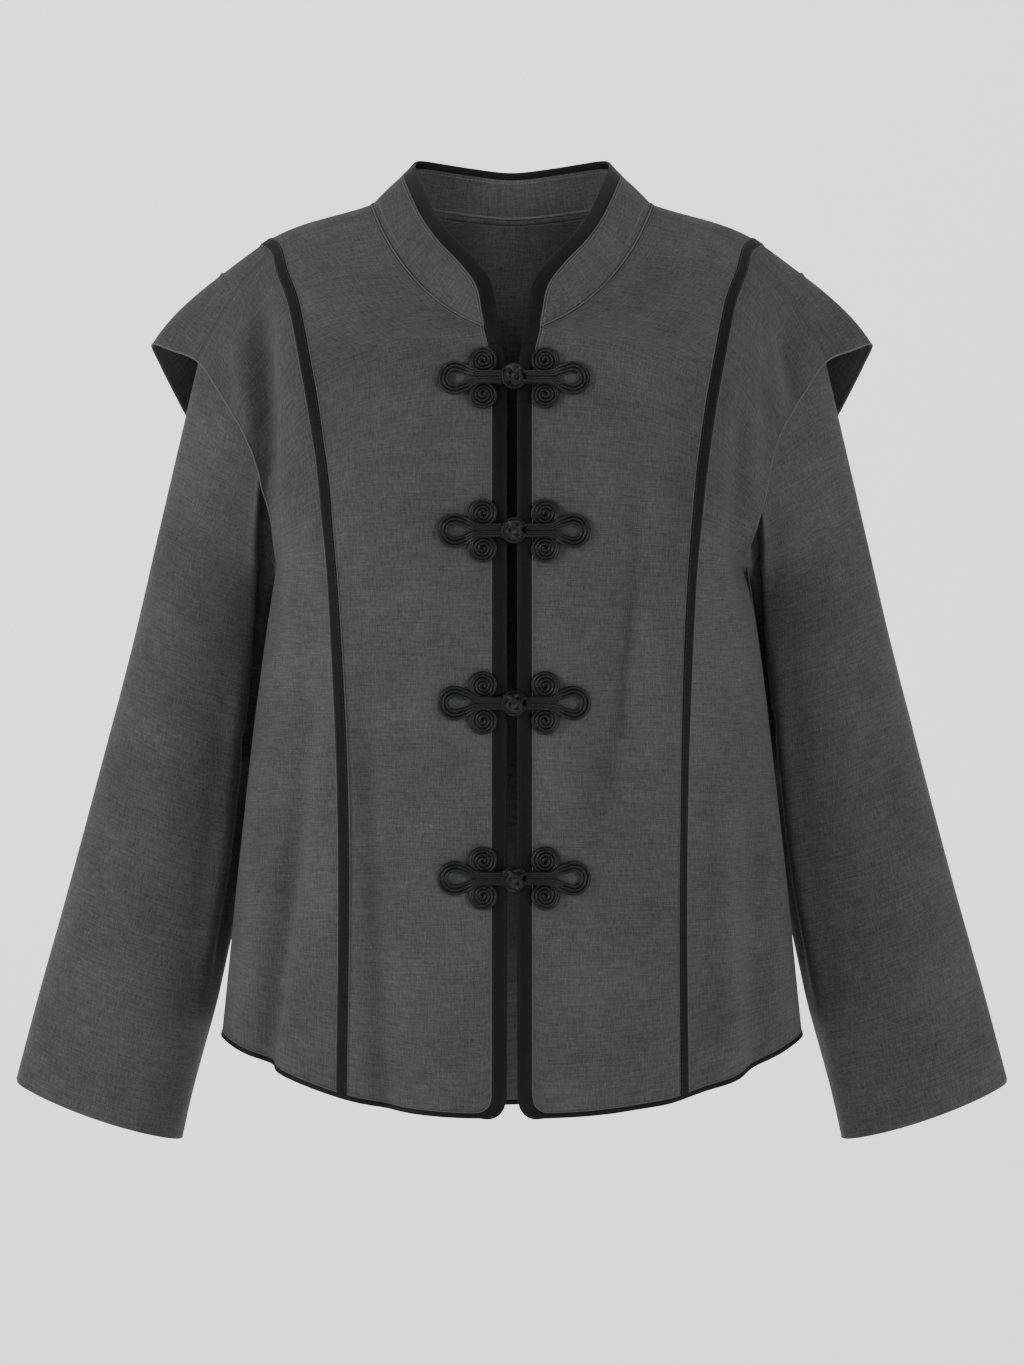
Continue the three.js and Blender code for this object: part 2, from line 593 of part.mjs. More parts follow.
const HEAD_STEPS = [0.3, 0.62]; // rings between the head (0) and the uppermost section (1)
for (const side of SIDES) {
  const head = [...HEAD_FRONT, ...[...HEAD_BACK].reverse()].map((spot) => headPoint(side, spot));
  const cuff = { ...SLEEVE_ROWS[0], bow: CUFF_BOW };
  const rings = [cuff, ...SLEEVE_ROWS.slice(1)].map((section) => sleeveRing(side, section));
  const top = rings[rings.length - 1];
  for (const share of [...HEAD_STEPS].reverse()) {
    rings.push(top.map((p, i) => p.clone().lerp(head[i], 1 - share)));
  }
  rings.push(head);
  const grid = rings.map((ring, k) => [...ring, ring[0]].map((point, i) => {
    const n = ring.length;
    const along = ring[(i + 1) % n].clone().sub(ring[(i + n - 1) % n]);
    const up = rings[Math.min(rings.length - 1, k + 1)][i % n].clone()
      .sub(rings[Math.max(0, k - 1)][i % n]);
    return { point, normal: up.cross(along).normalize().multiplyScalar(side.sign) };
  }));
  addPiece(`sleeve_${side.name}`, wall([grid], CLOTH), CLOTH_GREY);
}

// Frogs: each has a half with a knot on the wearer's right and a half with a loop on the left. A half
// is a teardrop end loop, two flat coils one above the other and the stems that tie them together.
const FROG = {
  clear: 1.0, // beneath it, above the cloth
  endLoop: { at: 43.8, reach: 12.4, half: 12.2, holeAt: 42.8, holeReach: 7.2, holeHalf: 4.2, height: 2.2 },
  coil: { at: 23, up: 12.4, radius: 10.5, topRadius: 9, height: 2.6 },
  stem: { from: 10, to: 35, half: 4.8, height: 1.8 },
  knot: { radius: 6.2, height: 7 },
  loop: { inner: 6.9, outer: 9.4, bottom: 1.7, top: 3.6 },
  neck: { half: 2.6, from: -2, height: 1.4, underLoop: 0.2 }, // from the stems to the knot or loop
  lap: 1, // how far a neck reaches into what it joins
};

function toSolid(geometry) {
  geometry.deleteAttribute('normal');
  geometry.deleteAttribute('uv');
  const merged = mergeVertices(geometry, 1e-4);
  const mesh = new wasm.Mesh({
    numProp: 3,
    vertProperties: merged.attributes.position.array,
    triVerts: new Uint32Array(merged.index.array),
  });
  return new wasm.Manifold(mesh);
}

function ringSolid(at, reach, half, holeAt, holeReach, holeHalf, bottom, top) {
  const shape = new THREE.Shape().absellipse(at, 0, reach, half, 0, Math.PI * 2);
  shape.holes.push(new THREE.Path().absellipse(holeAt, 0, holeReach, holeHalf, 0, Math.PI * 2));
  const options = { depth: top - bottom, bevelEnabled: false, curveSegments: 6 };
  return toSolid(new THREE.ExtrudeGeometry(shape, options).translate(0, 0, bottom));
}

function slabSolid(from, to, half, bottom, top) {
  const geometry = new THREE.BoxGeometry(to - from, half * 2, top - bottom);
  return toSolid(geometry.translate((from + to) / 2, 0, (bottom + top) / 2));
}

function halfFrog(hasKnot) {
  const { endLoop, coil, stem, knot, loop, neck, lap } = FROG;
  let solid = slabSolid(stem.from, stem.to, stem.half, 0, stem.height);
  solid = solid.add(ringSolid(endLoop.at, endLoop.reach, endLoop.half,
    endLoop.holeAt, endLoop.holeReach, endLoop.holeHalf, 0, endLoop.height));
  for (const up of [coil.up, -coil.up]) {
    const disc = new THREE.CylinderGeometry(coil.topRadius, coil.radius, coil.height, 12);
    solid = solid.add(toSolid(disc.rotateX(Math.PI / 2).translate(coil.at, up, coil.height / 2)));
  }
  if (hasKnot) {
    const ball = new THREE.SphereGeometry(knot.radius, 10, 6);
    solid = solid.add(toSolid(ball.translate(0, 0, knot.height)));
    return solid.add(slabSolid(neck.from, stem.from + lap, neck.half, 0, neck.height));
  }
  return solid.add(ringSolid(0, loop.outer, loop.outer, 0, loop.inner, loop.inner, loop.bottom, loop.top))
    .add(slabSolid(loop.inner + lap, stem.from + lap, neck.half, neck.underLoop, loop.top));
}

const PLACE_PASSES = 12;
const ROW_HALVINGS = 24;

// The place on the front at a given x and height, with the way that it faces
function frontPlace(side, x, z) {
  const out = x * side.sign;
  let u = 0;
  let row;
  for (let pass = 0; pass < PLACE_PASSES; pass += 1) {
    let low = ROW.hem;
    let high = ROW.neck;
    for (let i = 0; i < ROW_HALVINGS; i += 1) {
      row = (low + high) / 2;
      if (smoothBody(u, row).z < z) low = row;
      else high = row;
    }
    if (out <= FRONT_EDGE) break;
    u += (out - smoothBody(u, row).x) / princessLine(row).distanceTo(innerLine(row));
    u = Math.max(0, u);
  }
  const { point, normal } = clothPoint(side, u, row);
  if (out <= FRONT_EDGE) point.x = x;
  return { point, normal };
}

for (const [number, height] of FROG_HEIGHTS.entries()) {
  for (const side of SIDES) {
    const { vertProperties, triVerts } = halfFrog(side.name === 'right').getMesh();
    const points = [];
    for (let i = 0; i < vertProperties.length; i += 3) {
      const x = FROG_MIDDLE + side.sign * vertProperties[i];
      const { point, normal } = frontPlace(side, x, height + vertProperties[i + 1]);
      point.addScaledVector(normal, FROG.clear + vertProperties[i + 2]);
      points.push(...point.toArray());
    }
    const geometry = new THREE.BufferGeometry();
    geometry.setAttribute('position', new THREE.Float32BufferAttribute(points, 3));
    geometry.setIndex(side.sign > 0 ? [...triVerts] : [...triVerts].reverse());
    addPiece(`frog_${number + 1}_${side.name}`, geometry, BLACK_TRIM);
  }
}

export default blouse;
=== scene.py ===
import math

import bmesh
import bpy
import numpy as np
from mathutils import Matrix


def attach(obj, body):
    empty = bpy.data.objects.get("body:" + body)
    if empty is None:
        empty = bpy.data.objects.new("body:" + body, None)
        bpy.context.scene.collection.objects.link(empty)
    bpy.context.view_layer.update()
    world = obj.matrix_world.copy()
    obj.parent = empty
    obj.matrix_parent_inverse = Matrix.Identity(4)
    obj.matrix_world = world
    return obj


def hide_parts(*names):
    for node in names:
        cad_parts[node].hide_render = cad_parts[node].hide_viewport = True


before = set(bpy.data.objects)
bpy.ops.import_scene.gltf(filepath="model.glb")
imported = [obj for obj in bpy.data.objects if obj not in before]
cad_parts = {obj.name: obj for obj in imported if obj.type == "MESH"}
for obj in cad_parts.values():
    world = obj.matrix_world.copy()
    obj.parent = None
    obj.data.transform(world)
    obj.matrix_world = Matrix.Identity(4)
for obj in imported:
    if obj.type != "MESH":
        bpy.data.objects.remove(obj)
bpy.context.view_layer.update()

BODY = "root"
MM = 0.001

# The room: a plain pale sweep of paper lit from above, a large soft light on the left, a weaker one on
# the right, and a narrow one into the collar. The blouse hangs in front of it as if it were worn.
VIEW_DISTANCE = 4.0
VIEW_HEIGHT = -0.3581
VIEW_TALL = 1.024  # how much height the picture takes in where the blouse hangs
SENSOR = 36.0
PAPER_COLOUR = (0.84, 0.84, 0.842, 1)
PAPER_GLOW = 0.55
FLOOR_LEVEL = -1.35
SWEEP_DEPTH, SWEEP_RADIUS, SWEEP_STEPS = 1.9, 0.9, 16
PAPER_REACH, PAPER_TOP = 7.0, 4.0  # to the sides and towards the camera, and upwards
ROOM_LIGHT = 0.27


def add_object(name, data):
    holder = bpy.data.objects.new(name, data)
    bpy.context.collection.objects.link(holder)
    return holder


def new_material(name):
    material = bpy.data.materials.new(name)
    material.use_nodes = True
    return material, material.node_tree, material.node_tree.nodes["Principled BSDF"]


def set_inputs(node, values):
    for name, value in values.items():
        node.inputs[name].default_value = value


def plain_material(name, colour, roughness):
    material, _, shader = new_material(name)
    set_inputs(shader, {"Base Color": colour, "Roughness": roughness})
    return material


def make_mesh(name, points, faces, material):
    mesh = bpy.data.meshes.new(name)
    mesh.from_pydata([tuple(p) for p in points], [], [tuple(int(i) for i in f) for f in faces])
    mesh.materials.append(material)
    mesh.polygons.foreach_set("use_smooth", [True] * len(mesh.polygons))
    return add_object(name, mesh)


def clear_from_behind(material):
    """Let a view from behind the paper see through it to the blouse's back."""
    tree = material.node_tree
    side_seen = tree.nodes.new("ShaderNodeNewGeometry")
    clear = tree.nodes.new("ShaderNodeBsdfTransparent")
    mix = tree.nodes.new("ShaderNodeMixShader")
    tree.links.new(side_seen.outputs["Backfacing"], mix.inputs[0])
    tree.links.new(tree.nodes["Principled BSDF"].outputs[0], mix.inputs[1])
    tree.links.new(clear.outputs[0], mix.inputs[2])
    tree.links.new(mix.outputs[0], tree.nodes["Material Output"].inputs["Surface"])


def paper_sweep():
    turns = [math.pi / 2 * i / SWEEP_STEPS for i in range(SWEEP_STEPS + 1)]
    line = [(-PAPER_REACH, FLOOR_LEVEL)]
    line += [
        (SWEEP_DEPTH - SWEEP_RADIUS * (1 - math.sin(a)), FLOOR_LEVEL + SWEEP_RADIUS * (1 - math.cos(a)))
        for a in turns
    ]
    line.append((SWEEP_DEPTH, PAPER_TOP))
    points = [(x, y, z) for x in (-PAPER_REACH, PAPER_REACH) for y, z in line]
    count = len(line)
    faces = [(i, count + i, count + i + 1, i + 1) for i in range(count - 1)]
    paper = plain_material("paper", PAPER_COLOUR, 0.9)
    shader = paper.node_tree.nodes["Principled BSDF"]
    set_inputs(shader, {"Emission Color": (1, 1, 1, 1), "Emission Strength": PAPER_GLOW})
    clear_from_behind(paper)
    return make_mesh("paper_sweep", points, faces, paper)


paper_sweep()

camera = add_object("camera", bpy.data.cameras.new("camera"))
camera.location = (0, -VIEW_DISTANCE, VIEW_HEIGHT)
camera.rotation_euler = (math.pi / 2, 0, 0)
camera.data.sensor_width = SENSOR
camera.data.lens = SENSOR * VIEW_DISTANCE / VIEW_TALL
bpy.context.scene.camera = camera


def soft_light(name, place, aim, size, power, spread=math.pi):
    light = bpy.data.lights.new(name, "AREA")
    light.shape = "RECTANGLE"
    light.size, light.size_y = size
    light.energy = power
    light.spread = spread
    holder = add_object(name, light)
    holder.location = place
    direction = np.array(aim) - np.array(place)
    yaw = math.atan2(direction[1], direction[0]) - math.pi / 2
    pitch = math.atan2(direction[2], math.hypot(direction[0], direction[1]))
    holder.rotation_euler = (math.pi / 2 + pitch, 0, yaw)


soft_light("key", place=(-3.3, -1.7, 0.6), aim=(0, 0, -0.35), size=(1.0, 1.3), power=127)
soft_light("fill", place=(3.0, -2.2, 0.3), aim=(0, 0, -0.4), size=(1.2, 1.5), power=82)
soft_light("paper_wash", place=(0, 0.3, 2.6), aim=(0, 1.9, -0.2), size=(4.0, 0.8), power=60)
soft_light(
    "collar_light",
    place=(0, -0.6, 0.3),
    aim=(0, 0.07, -0.02),
    size=(0.05, 0.05),
    power=0.02,
    spread=math.radians(11),
)

world = bpy.data.worlds.new("room")
world.use_nodes = True
set_inputs(world.node_tree.nodes["Background"], {"Color": (1, 1, 1, 1), "Strength": ROOM_LIGHT})
bpy.context.scene.world = world

# The cut of the body, in millimetres, as it hangs. A row is one section of the half body: the inner
# line (front edge or neckline), the princess seam and the outer line (side seam or cap edge), then how
# far the cloth has turned round the side and how much it falls at the cap's edge.
FRONT_EDGE = 13.9
HEM_HALF, HEM_POWER, HEM_CORNER = 218.0, 2.55, 13.0
HEM_FRONT, HEM_FRONT_RISE = -672.6, 52.0
HEM_BACK, HEM_BACK_RISE = -680.6, 60.0
BODY_ROWS = [
    # inner line          princess seam        outer line             turn fall
    (13.9, -121, -672.0, 124.8, -96.0, -660.0, 218.0, 10, -620.6, 1.0, 0.0),
    (13.9, -116, -515.3, 123.6, -93.0, -516.2, 208.0, 10, -520.4, 1.0, 0.0),
    (13.9, -114, -428.9, 125.0, -92.0, -429.6, 198.1, 10, -431.2, 1.0, 0.0),
    (13.9, -115, -341.5, 128.5, -95.0, -341.7, 187.4, 8, -341.0, 1.0, 0.0),
    (13.9, -116, -274.5, 132.1, -97.0, -275.8, 176.9, -2, -272.0, 0.9, 0.0),
    (13.9, -113, -232.6, 135.8, -96.5, -235.0, 180.0, -34, -253.9, 0.4, 0.0),
    (13.9, -106, -188.6, 139.3, -93.0, -201.7, 183.8, -48, -235.5, 0.1, 0.0),
    (14.0, -93, -145.1, 143.3, -88.0, -172.2, 187.9, -55, -218.0, 0.0, 0.0),
    (15.8, -82, -116.0, 146.4, -83.0, -152.4, 189.8, -57, -207.2, 0.0, 0.0),
    (20.0, -72, -96.3, 150.1, -77.0, -132.4, 192.7, -56, -193.3, 0.0, 0.0),
    (39.1, -68, -86.8, 153.2, -71.0, -116.4, 195.3, -54, -183.4, 0.0, 0.0),
    (56.1, -63, -75.2, 157.0, -62.0, -97.1, 200.8, -50, -169.7, 0.0, 0.0),
    (76.1, -52, -54.6, 162.6, -47.0, -73.4, 207.7, -44, -158.2, 0.0, 0.0),
    (92.1, -36, -30.6, 170.8, -28.0, -52.2, 219.5, -32, -139.4, 0.0, 0.1),
    (103.2, -12, -6.1, 176.7, -6.0, -33.0, 235.2, -14, -117.8, 0.0, 0.3),
    (105.0, 2, 0.5, 184.8, 12.0, -26.5, 256.5, 4, -108.0, 0.0, 0.5),
    (101.0, 18, 2.0, 186.0, 30.0, -30.0, 271.5, 20, -103.0, 0.0, 0.6),
    (88.0, 33, 0.0, 184.5, 46.0, -41.0, 267.0, 37, -116.0, 0.0, 0.5),
    (65.0, 46, -4.0, 180.0, 61.0, -55.0, 258.5, 51, -134.0, 0.0, 0.3),
    (35.0, 54, -8.0, 175.0, 72.0, -69.0, 249.5, 63, -152.0, 0.0, 0.1),
    (0.0, 57, -10.5, 170.0, 81.0, -84.0, 240.0, 72, -169.0, 0.0, 0.0),
    (0.0, 76, -50.0, 161.0, 92.0, -115.0, 226.0, 81, -190.0, 0.0, 0.0),
    (0.0, 90, -100.0, 152.0, 98.0, -152.0, 212.0, 87, -210.0, 0.0, 0.0),
    (0.0, 97, -150.0, 145.0, 100.0, -190.0, 200.0, 85, -230.0, 0.1, 0.0),
    (0.0, 99, -205.0, 139.0, 98.0, -230.0, 188.0, 68, -250.0, 0.4, 0.0),
    (0.0, 97, -272.0, 134.0, 92.0, -273.0, 176.9, -2, -272.0, 0.9, 0.0),
    (0.0, 93, -341.0, 131.0, 85.0, -341.0, 187.4, 8, -341.0, 1.0, 0.0),
    (0.0, 92, -431.0, 130.0, 84.0, -431.0, 198.1, 10, -431.2, 1.0, 0.0),
    (0.0, 99, -520.0, 132.0, 91.0, -520.0, 208.0, 10, -520.4, 1.0, 0.0),
    (0.0, 108, -680.6, 136.0, 98.0, -662.0, 218.0, 10, -620.6, 1.0, 0.0),
]
FRONT_HEM, UNDERARM, NECK, SHOULDER, BACK_NECK, BACK_UNDERARM, BACK_HEM = 0, 4, 9, 14, 20, 25, 29
# Between these rows the cloth leaves the neckline aslant; elsewhere it starts out straight across
ASLANT_FROM, ASLANT_TO, ASLANT_EASE = 8, 21, 2
SIDES = (("left", 1), ("right", -1))

# The folds: face, x at the upper and lower end (+ is the wearer's left), z of the two ends, half width
# there, and rise (+ a ridge, - a trough)
FOLDS = [
    ("front", -188, -181, -38, -290, 9, 8, -4.5),
    ("front", -142, -196, -330, -700, 8, 12, -5),
    ("front", -118, -92, -170, -700, 13, 17, -4),
    ("front", -52, -46, -230, -700, 16, 20, 2.5),
    ("front", -205, -196, -85, -175, 9, 8, 2),
    ("front", 104, 62, -130, -520, 10, 14, -4.5),
    ("front", 116, 112, -250, -700, 11, 14, 3),
    ("front", 152, 160, -330, -700, 11, 14, 3.5),
    ("front", 166, 172, -140, -300, 7, 8, -4.5),
    ("front", 199, 212, -74, -160, 7, 6, -3),
    ("front", 178, 184, -360, -700, 8, 12, -3),
    ("back", -150, -164, -300, -720, 12, 18, -5),
    ("back", -92, -104, -260, -720, 18, 26, 4),
    ("back", -38, -46, -340, -720, 16, 24, -4.5),
    ("back", 26, 30, -300, -720, 18, 26, 4),
    ("back", 80, 92, -330, -720, 16, 22, -5),
    ("back", 136, 150, -280, -720, 14, 20, 4),
]
FOLD_DEPTH = 1.9  # the soft cloth hangs in deeper folds than the solid that stands for it
# Smaller creases that only the cloth itself has
CREASES = [
    ("front", -188, -184, -38, -260, 8, 8, -6.0),
    ("front", -152, -196, -390, -700, 6, 8, -4.0),
    ("front", -116, -94, -300, -700, 8, 10, -3.2),
    ("front", -163, -166, -230, -420, 8, 9, 1.6),
    ("front", -190, -194, -330, -620, 6, 8, 1.4),
    ("front", -152, -128, -150, -250, 5, 6, -1.0),
    ("front", -60, -44, -90, -240, 7, 10, -0.8),
    ("front", -30, -34, -260, -480, 7, 9, 0.7),
    ("front", -76, -72, -500, -700, 8, 10, 0.9),
    ("front", 178, 176, -80, -230, 7, 7, 2.2),
    ("front", 168, 178, -190, -330, 6, 6, -2.6),
    ("front", 134, 126, -110, -260, 6, 9, -1.0),
    ("front", 62, 46, -100, -250, 7, 10, -0.9),
    ("front", 36, 40, -300, -560, 7, 10, 0.9),
    ("front", 88, 78, -250, -420, 6, 8, -1.6),
    ("front", 140, 146, -450, -700, 6, 8, -1.2),
    ("front", 76, 92, -520, -700, 9, 12, -1.4),
    ("back", -60, -70, -60, -260, 9, 13, -1.6),
    ("back", 64, 78, -70, -280, 9, 12, -1.8),
    ("back", -128, -110, -170, -330, 6, 9, 1.6),
    ("back", 130, 112, -180, -350, 6, 9, 1.5),
    ("back", -10, -4, -160, -420, 10, 14, -1.4),
    ("back", 56, 60, -430, -720, 7, 10, 1.6),
    ("back", -76, -70, -460, -720, 7, 10, -1.5),
    ("back", 170, 178, -400, -660, 6, 8, -1.8),
    ("back", -178, -186, -380, -650, 6, 8, 1.5),
]


def smooth(value):
    t = np.clip(value, 0, 1)
    return t * t * (3 - 2 * t)


def unit(vectors):
    return vectors / np.maximum(np.linalg.norm(vectors, axis=-1, keepdims=True), 1e-12)


def seam_line(points, corners, middle=None):
    """A smooth line through points with a corner at each row in corners, read by row number. Where it
    ends on the middle of the back, at row middle, it goes on into its mirror image."""
    points = np.array(points, float)
    breaks = [0, *corners, len(points) - 1]

    def at(row):
        row = np.asarray(row, float)
        result = np.zeros(row.shape + (3,))
        for first, last in zip(breaks, breaks[1:]):
            run = points[first : last + 1]
            beyond = run[-2] * [-1, 1, 1] if last == middle else 2 * run[-1] - run[-2]
            run = np.vstack([2 * run[0] - run[1], run, beyond])
            inside = (row >= first) & (row <= last)
            step = np.clip(np.floor(row[inside] - first).astype(int), 0, last - first - 1)
            t = (row[inside] - first - step)[:, None]
            p0, p1, p2, p3 = (run[step + k] for k in range(4))
            steps = ((p0, p1), (p1, p2), (p2, p3))
            gaps = [np.sqrt(np.linalg.norm(b - a, axis=1))[:, None] for a, b in steps]
            g0, g1, g2 = (np.where(g < 1e-4, 1.0, g) for g in gaps)
            start = ((p1 - p0) / g0 - (p2 - p0) / (g0 + g1) + (p2 - p1) / g1) * g1
            end = ((p2 - p1) / g1 - (p3 - p1) / (g1 + g2) + (p3 - p2) / g2) * g1
            square = 3 * (p2 - p1) - 2 * start - end
            cube = 2 * (p1 - p2) + start + end
            result[inside] = p1 + start * t + square * t**2 + cube * t**3
        return result

    return at


inner_line = seam_line([r[0:3] for r in BODY_ROWS], (NECK, BACK_NECK), BACK_NECK)
princess_line = seam_line([r[3:6] for r in BODY_ROWS], ())
outer_line = seam_line([r[6:9] for r in BODY_ROWS], (UNDERARM, BACK_UNDERARM))
ROW_NUMBERS = np.arange(len(BODY_ROWS))
TURNS = np.array([r[9] for r in BODY_ROWS])
FALLS = np.array([r[10] for r in BODY_ROWS])


def hermite(start, start_way, end, end_way, t):
    t = t[..., None]
    length = np.linalg.norm(end - start, axis=-1, keepdims=True)
    return (
        start * (2 * t**3 - 3 * t**2 + 1)
        + start_way * (t**3 - 2 * t**2 + t) * length
        + end * (3 * t**2 - 2 * t**3)
        + end_way * (t**3 - t**2) * length
    )


def hem_height(x, is_front):
    curve = (np.abs(x) / HEM_HALF) ** HEM_POWER
    to_corner = np.maximum(0, HEM_CORNER - (np.abs(x) - FRONT_EDGE))
    lift = HEM_CORNER - np.sqrt(np.maximum(0, HEM_CORNER**2 - to_corner**2))
    front = HEM_FRONT + HEM_FRONT_RISE * curve + lift
    return np.where(is_front, front, HEM_BACK + HEM_BACK_RISE * curve)


def section_point(u, row):
    is_front = row <= SHOULDER
    inner, princess, outer = inner_line(row), princess_line(row), outer_line(row)
    first, second = unit(princess - inner), unit(outer - princess)
    middle = unit(first + second)
    rows_in = np.where(is_front, row - ASLANT_FROM, ASLANT_TO - row)
    aslant = smooth(rows_in / ASLANT_EASE)
    inner_way = unit(first * np.stack([np.ones_like(aslant), aslant, aslant], -1))
    turn = np.interp(row, ROW_NUMBERS, TURNS)[..., None]
    turned = np.zeros_like(second)
    turned[..., 1] = np.where(is_front, 1, -1)
    outer_way = second * (1 - turn) + turned * turn
    outer_way[..., 2] -= np.interp(row, ROW_NUMBERS, FALLS)
    centre_part = hermite(inner, inner_way, princess, middle, u)
    side_part = hermite(princess, middle, outer, unit(outer_way), u - 1)
    return np.where((u <= 1)[..., None], centre_part, side_part)


def smooth_body(u, row):
    """The body before its folds: u is 0 at the inner line, 1 at the princess seam, 2 at the outer line."""
    u, row = np.broadcast_arrays(np.asarray(u, float), np.asarray(row, float))
    is_front = row <= SHOULDER
    point = section_point(u, row)
    to_hem = np.where(is_front, 1 - row, row - (BACK_HEM - 1))
    start = section_point(u, np.where(is_front, 1.0, BACK_HEM - 1.0))[..., 2]
    hanging = start + (hem_height(point[..., 0], is_front) - start) * to_hem
    point[..., 2] = np.where(to_hem > 0, hanging, point[..., 2])
    return point


DRAPE = [(*fold[:-1], fold[-1] * FOLD_DEPTH) for fold in FOLDS] + CREASES


def fold_rise(x, z, is_front):
    """How far the cloth stands out at x and z. A fold swells over its upper half, and one that ends
    above the hem fades over its last third."""
    rise = np.zeros_like(x)
    for face, x0, x1, z0, z1, w0, w1, height in DRAPE:
        t = (z - z0) / (z1 - z0)
        middle = x0 + (x1 - x0) * t
        width = np.maximum(1, w0 + (w1 - w0) * t)
        ends = 1.0 if z1 < HEM_FRONT else smooth((1 - t) * 3)
        here = (t > 0) & (t < 1) & (is_front == (face == "front"))
        rise += np.where(here, height * smooth(t * 2) * ends * np.exp(-(((x - middle) / width) ** 2)), 0)
    return rise


NEAR_U, NEAR_ROW = 0.01, 0.02  # steps to the points beside one, for the way that the cloth faces there


def facing(surface, sign, u, row):
    across = surface(np.minimum(u + NEAR_U, 2), row) - surface(np.maximum(u - NEAR_U, 0), row)
    above, below = np.minimum(row + NEAR_ROW, BACK_HEM), np.maximum(row - NEAR_ROW, FRONT_HEM)
    along = surface(u, above) - surface(u, below)
    return unit(np.cross(across, along)) * sign


def cloth_points(sign, u, row):
    """Points of the cloth's outer face with its folds, and the way that it faces there."""
    u, row = np.broadcast_arrays(np.asarray(u, float), np.asarray(row, float))

    def mirrored(a, b):
        return smooth_body(a, b) * np.array([sign, 1, 1])

    def folded(a, b):
        base = mirrored(a, b)
        rise = fold_rise(base[..., 0], base[..., 2], b <= SHOULDER)
        return base + facing(mirrored, sign, a, b) * rise[..., None]

    return folded(u, row), facing(folded, sign, u, row)


# The cloth: charcoal cotton and linen in a plain weave, with slubs and lighter flecks along its
# threads. One group of nodes draws the weave from the piece's own UV map, in metres along its threads.
CLOTH_THICK = 1.0
THREAD = 0.00078  # from one thread to the next, in metres
MIDDLE_TONE = 0.45  # between the dark colour (0) and the light one (1)
CLOUD_SPREAD, SPECK_SPREAD = 0.75, 0.9  # how much large and small patches differ in tone
WEAVE_DEPTH = 0.0003  # how far the threads stand out, in metres
WEAVE_SHINE = 0.12
SHEEN_TINT = (0.8, 0.8, 0.82, 1)
CLOTH_DARK = (0.027, 0.0268, 0.0268, 1)
CLOTH_LIGHT = (0.078, 0.0775, 0.0775, 1)


def add_node(tree, kind, **settings):
    node = tree.nodes.new(kind)
    for name, value in settings.items():
        setattr(node, name, value)
    return node


def math_node(tree, operation, first, second=None, clamp=False):
    node = add_node(tree, "ShaderNodeMath", operation=operation, use_clamp=clamp)
    for socket, value in zip(node.inputs, (first, second)):
        if hasattr(value, "links"):
            tree.links.new(value, socket)
        elif value is not None:
            socket.default_value = value
    return node.outputs[0]


def stretched_noise(tree, x, y, x_scale, y_scale, seed, detail=2.0):
    """Noise over x and y, which count threads; the scales say how many patches go to one thread."""
    place = add_node(tree, "ShaderNodeCombineXYZ")
    tree.links.new(math_node(tree, "MULTIPLY", x, x_scale), place.inputs[0])
    tree.links.new(math_node(tree, "MULTIPLY", y, y_scale), place.inputs[1])
    place.inputs[2].default_value = seed
    noise = add_node(tree, "ShaderNodeTexNoise")
    set_inputs(noise, {"Scale": 1.0, "Detail": detail, "Roughness": 0.6})
    tree.links.new(place.outputs[0], noise.inputs["Vector"])
    return noise.outputs["Fac"]


def thread_axes(tree):
    """A piece's own UV map, in metres across and along its threads."""
    uv = add_node(tree, "ShaderNodeUVMap", uv_map="threads")
    split = add_node(tree, "ShaderNodeSeparateXYZ")
    tree.links.new(uv.outputs[0], split.inputs[0])
    return split.outputs[0], split.outputs[1]


def coloured_relief(tree, shader, tone, dark, light, height, relief, depth):
    """Colour a shader between dark and light by its tone, and give its surface a relief by its height."""
    ramp = add_node(tree, "ShaderNodeValToRGB")
    for end, colour in zip(ramp.color_ramp.elements, (dark, light)):
        end.color = colour
    tree.links.new(tone, ramp.inputs[0])
    tree.links.new(ramp.outputs[0], shader.inputs["Base Color"])
    bump = add_node(tree, "ShaderNodeBump")
    set_inputs(bump, {"Strength": relief, "Distance": depth})
    tree.links.new(height, bump.inputs["Height"])
    tree.links.new(bump.outputs[0], shader.inputs["Normal"])


def varied(tree, noise, spread):
    """A noise value made to vary round nothing, by so much."""
    return math_node(tree, "MULTIPLY", math_node(tree, "SUBTRACT", noise, 0.5), spread)


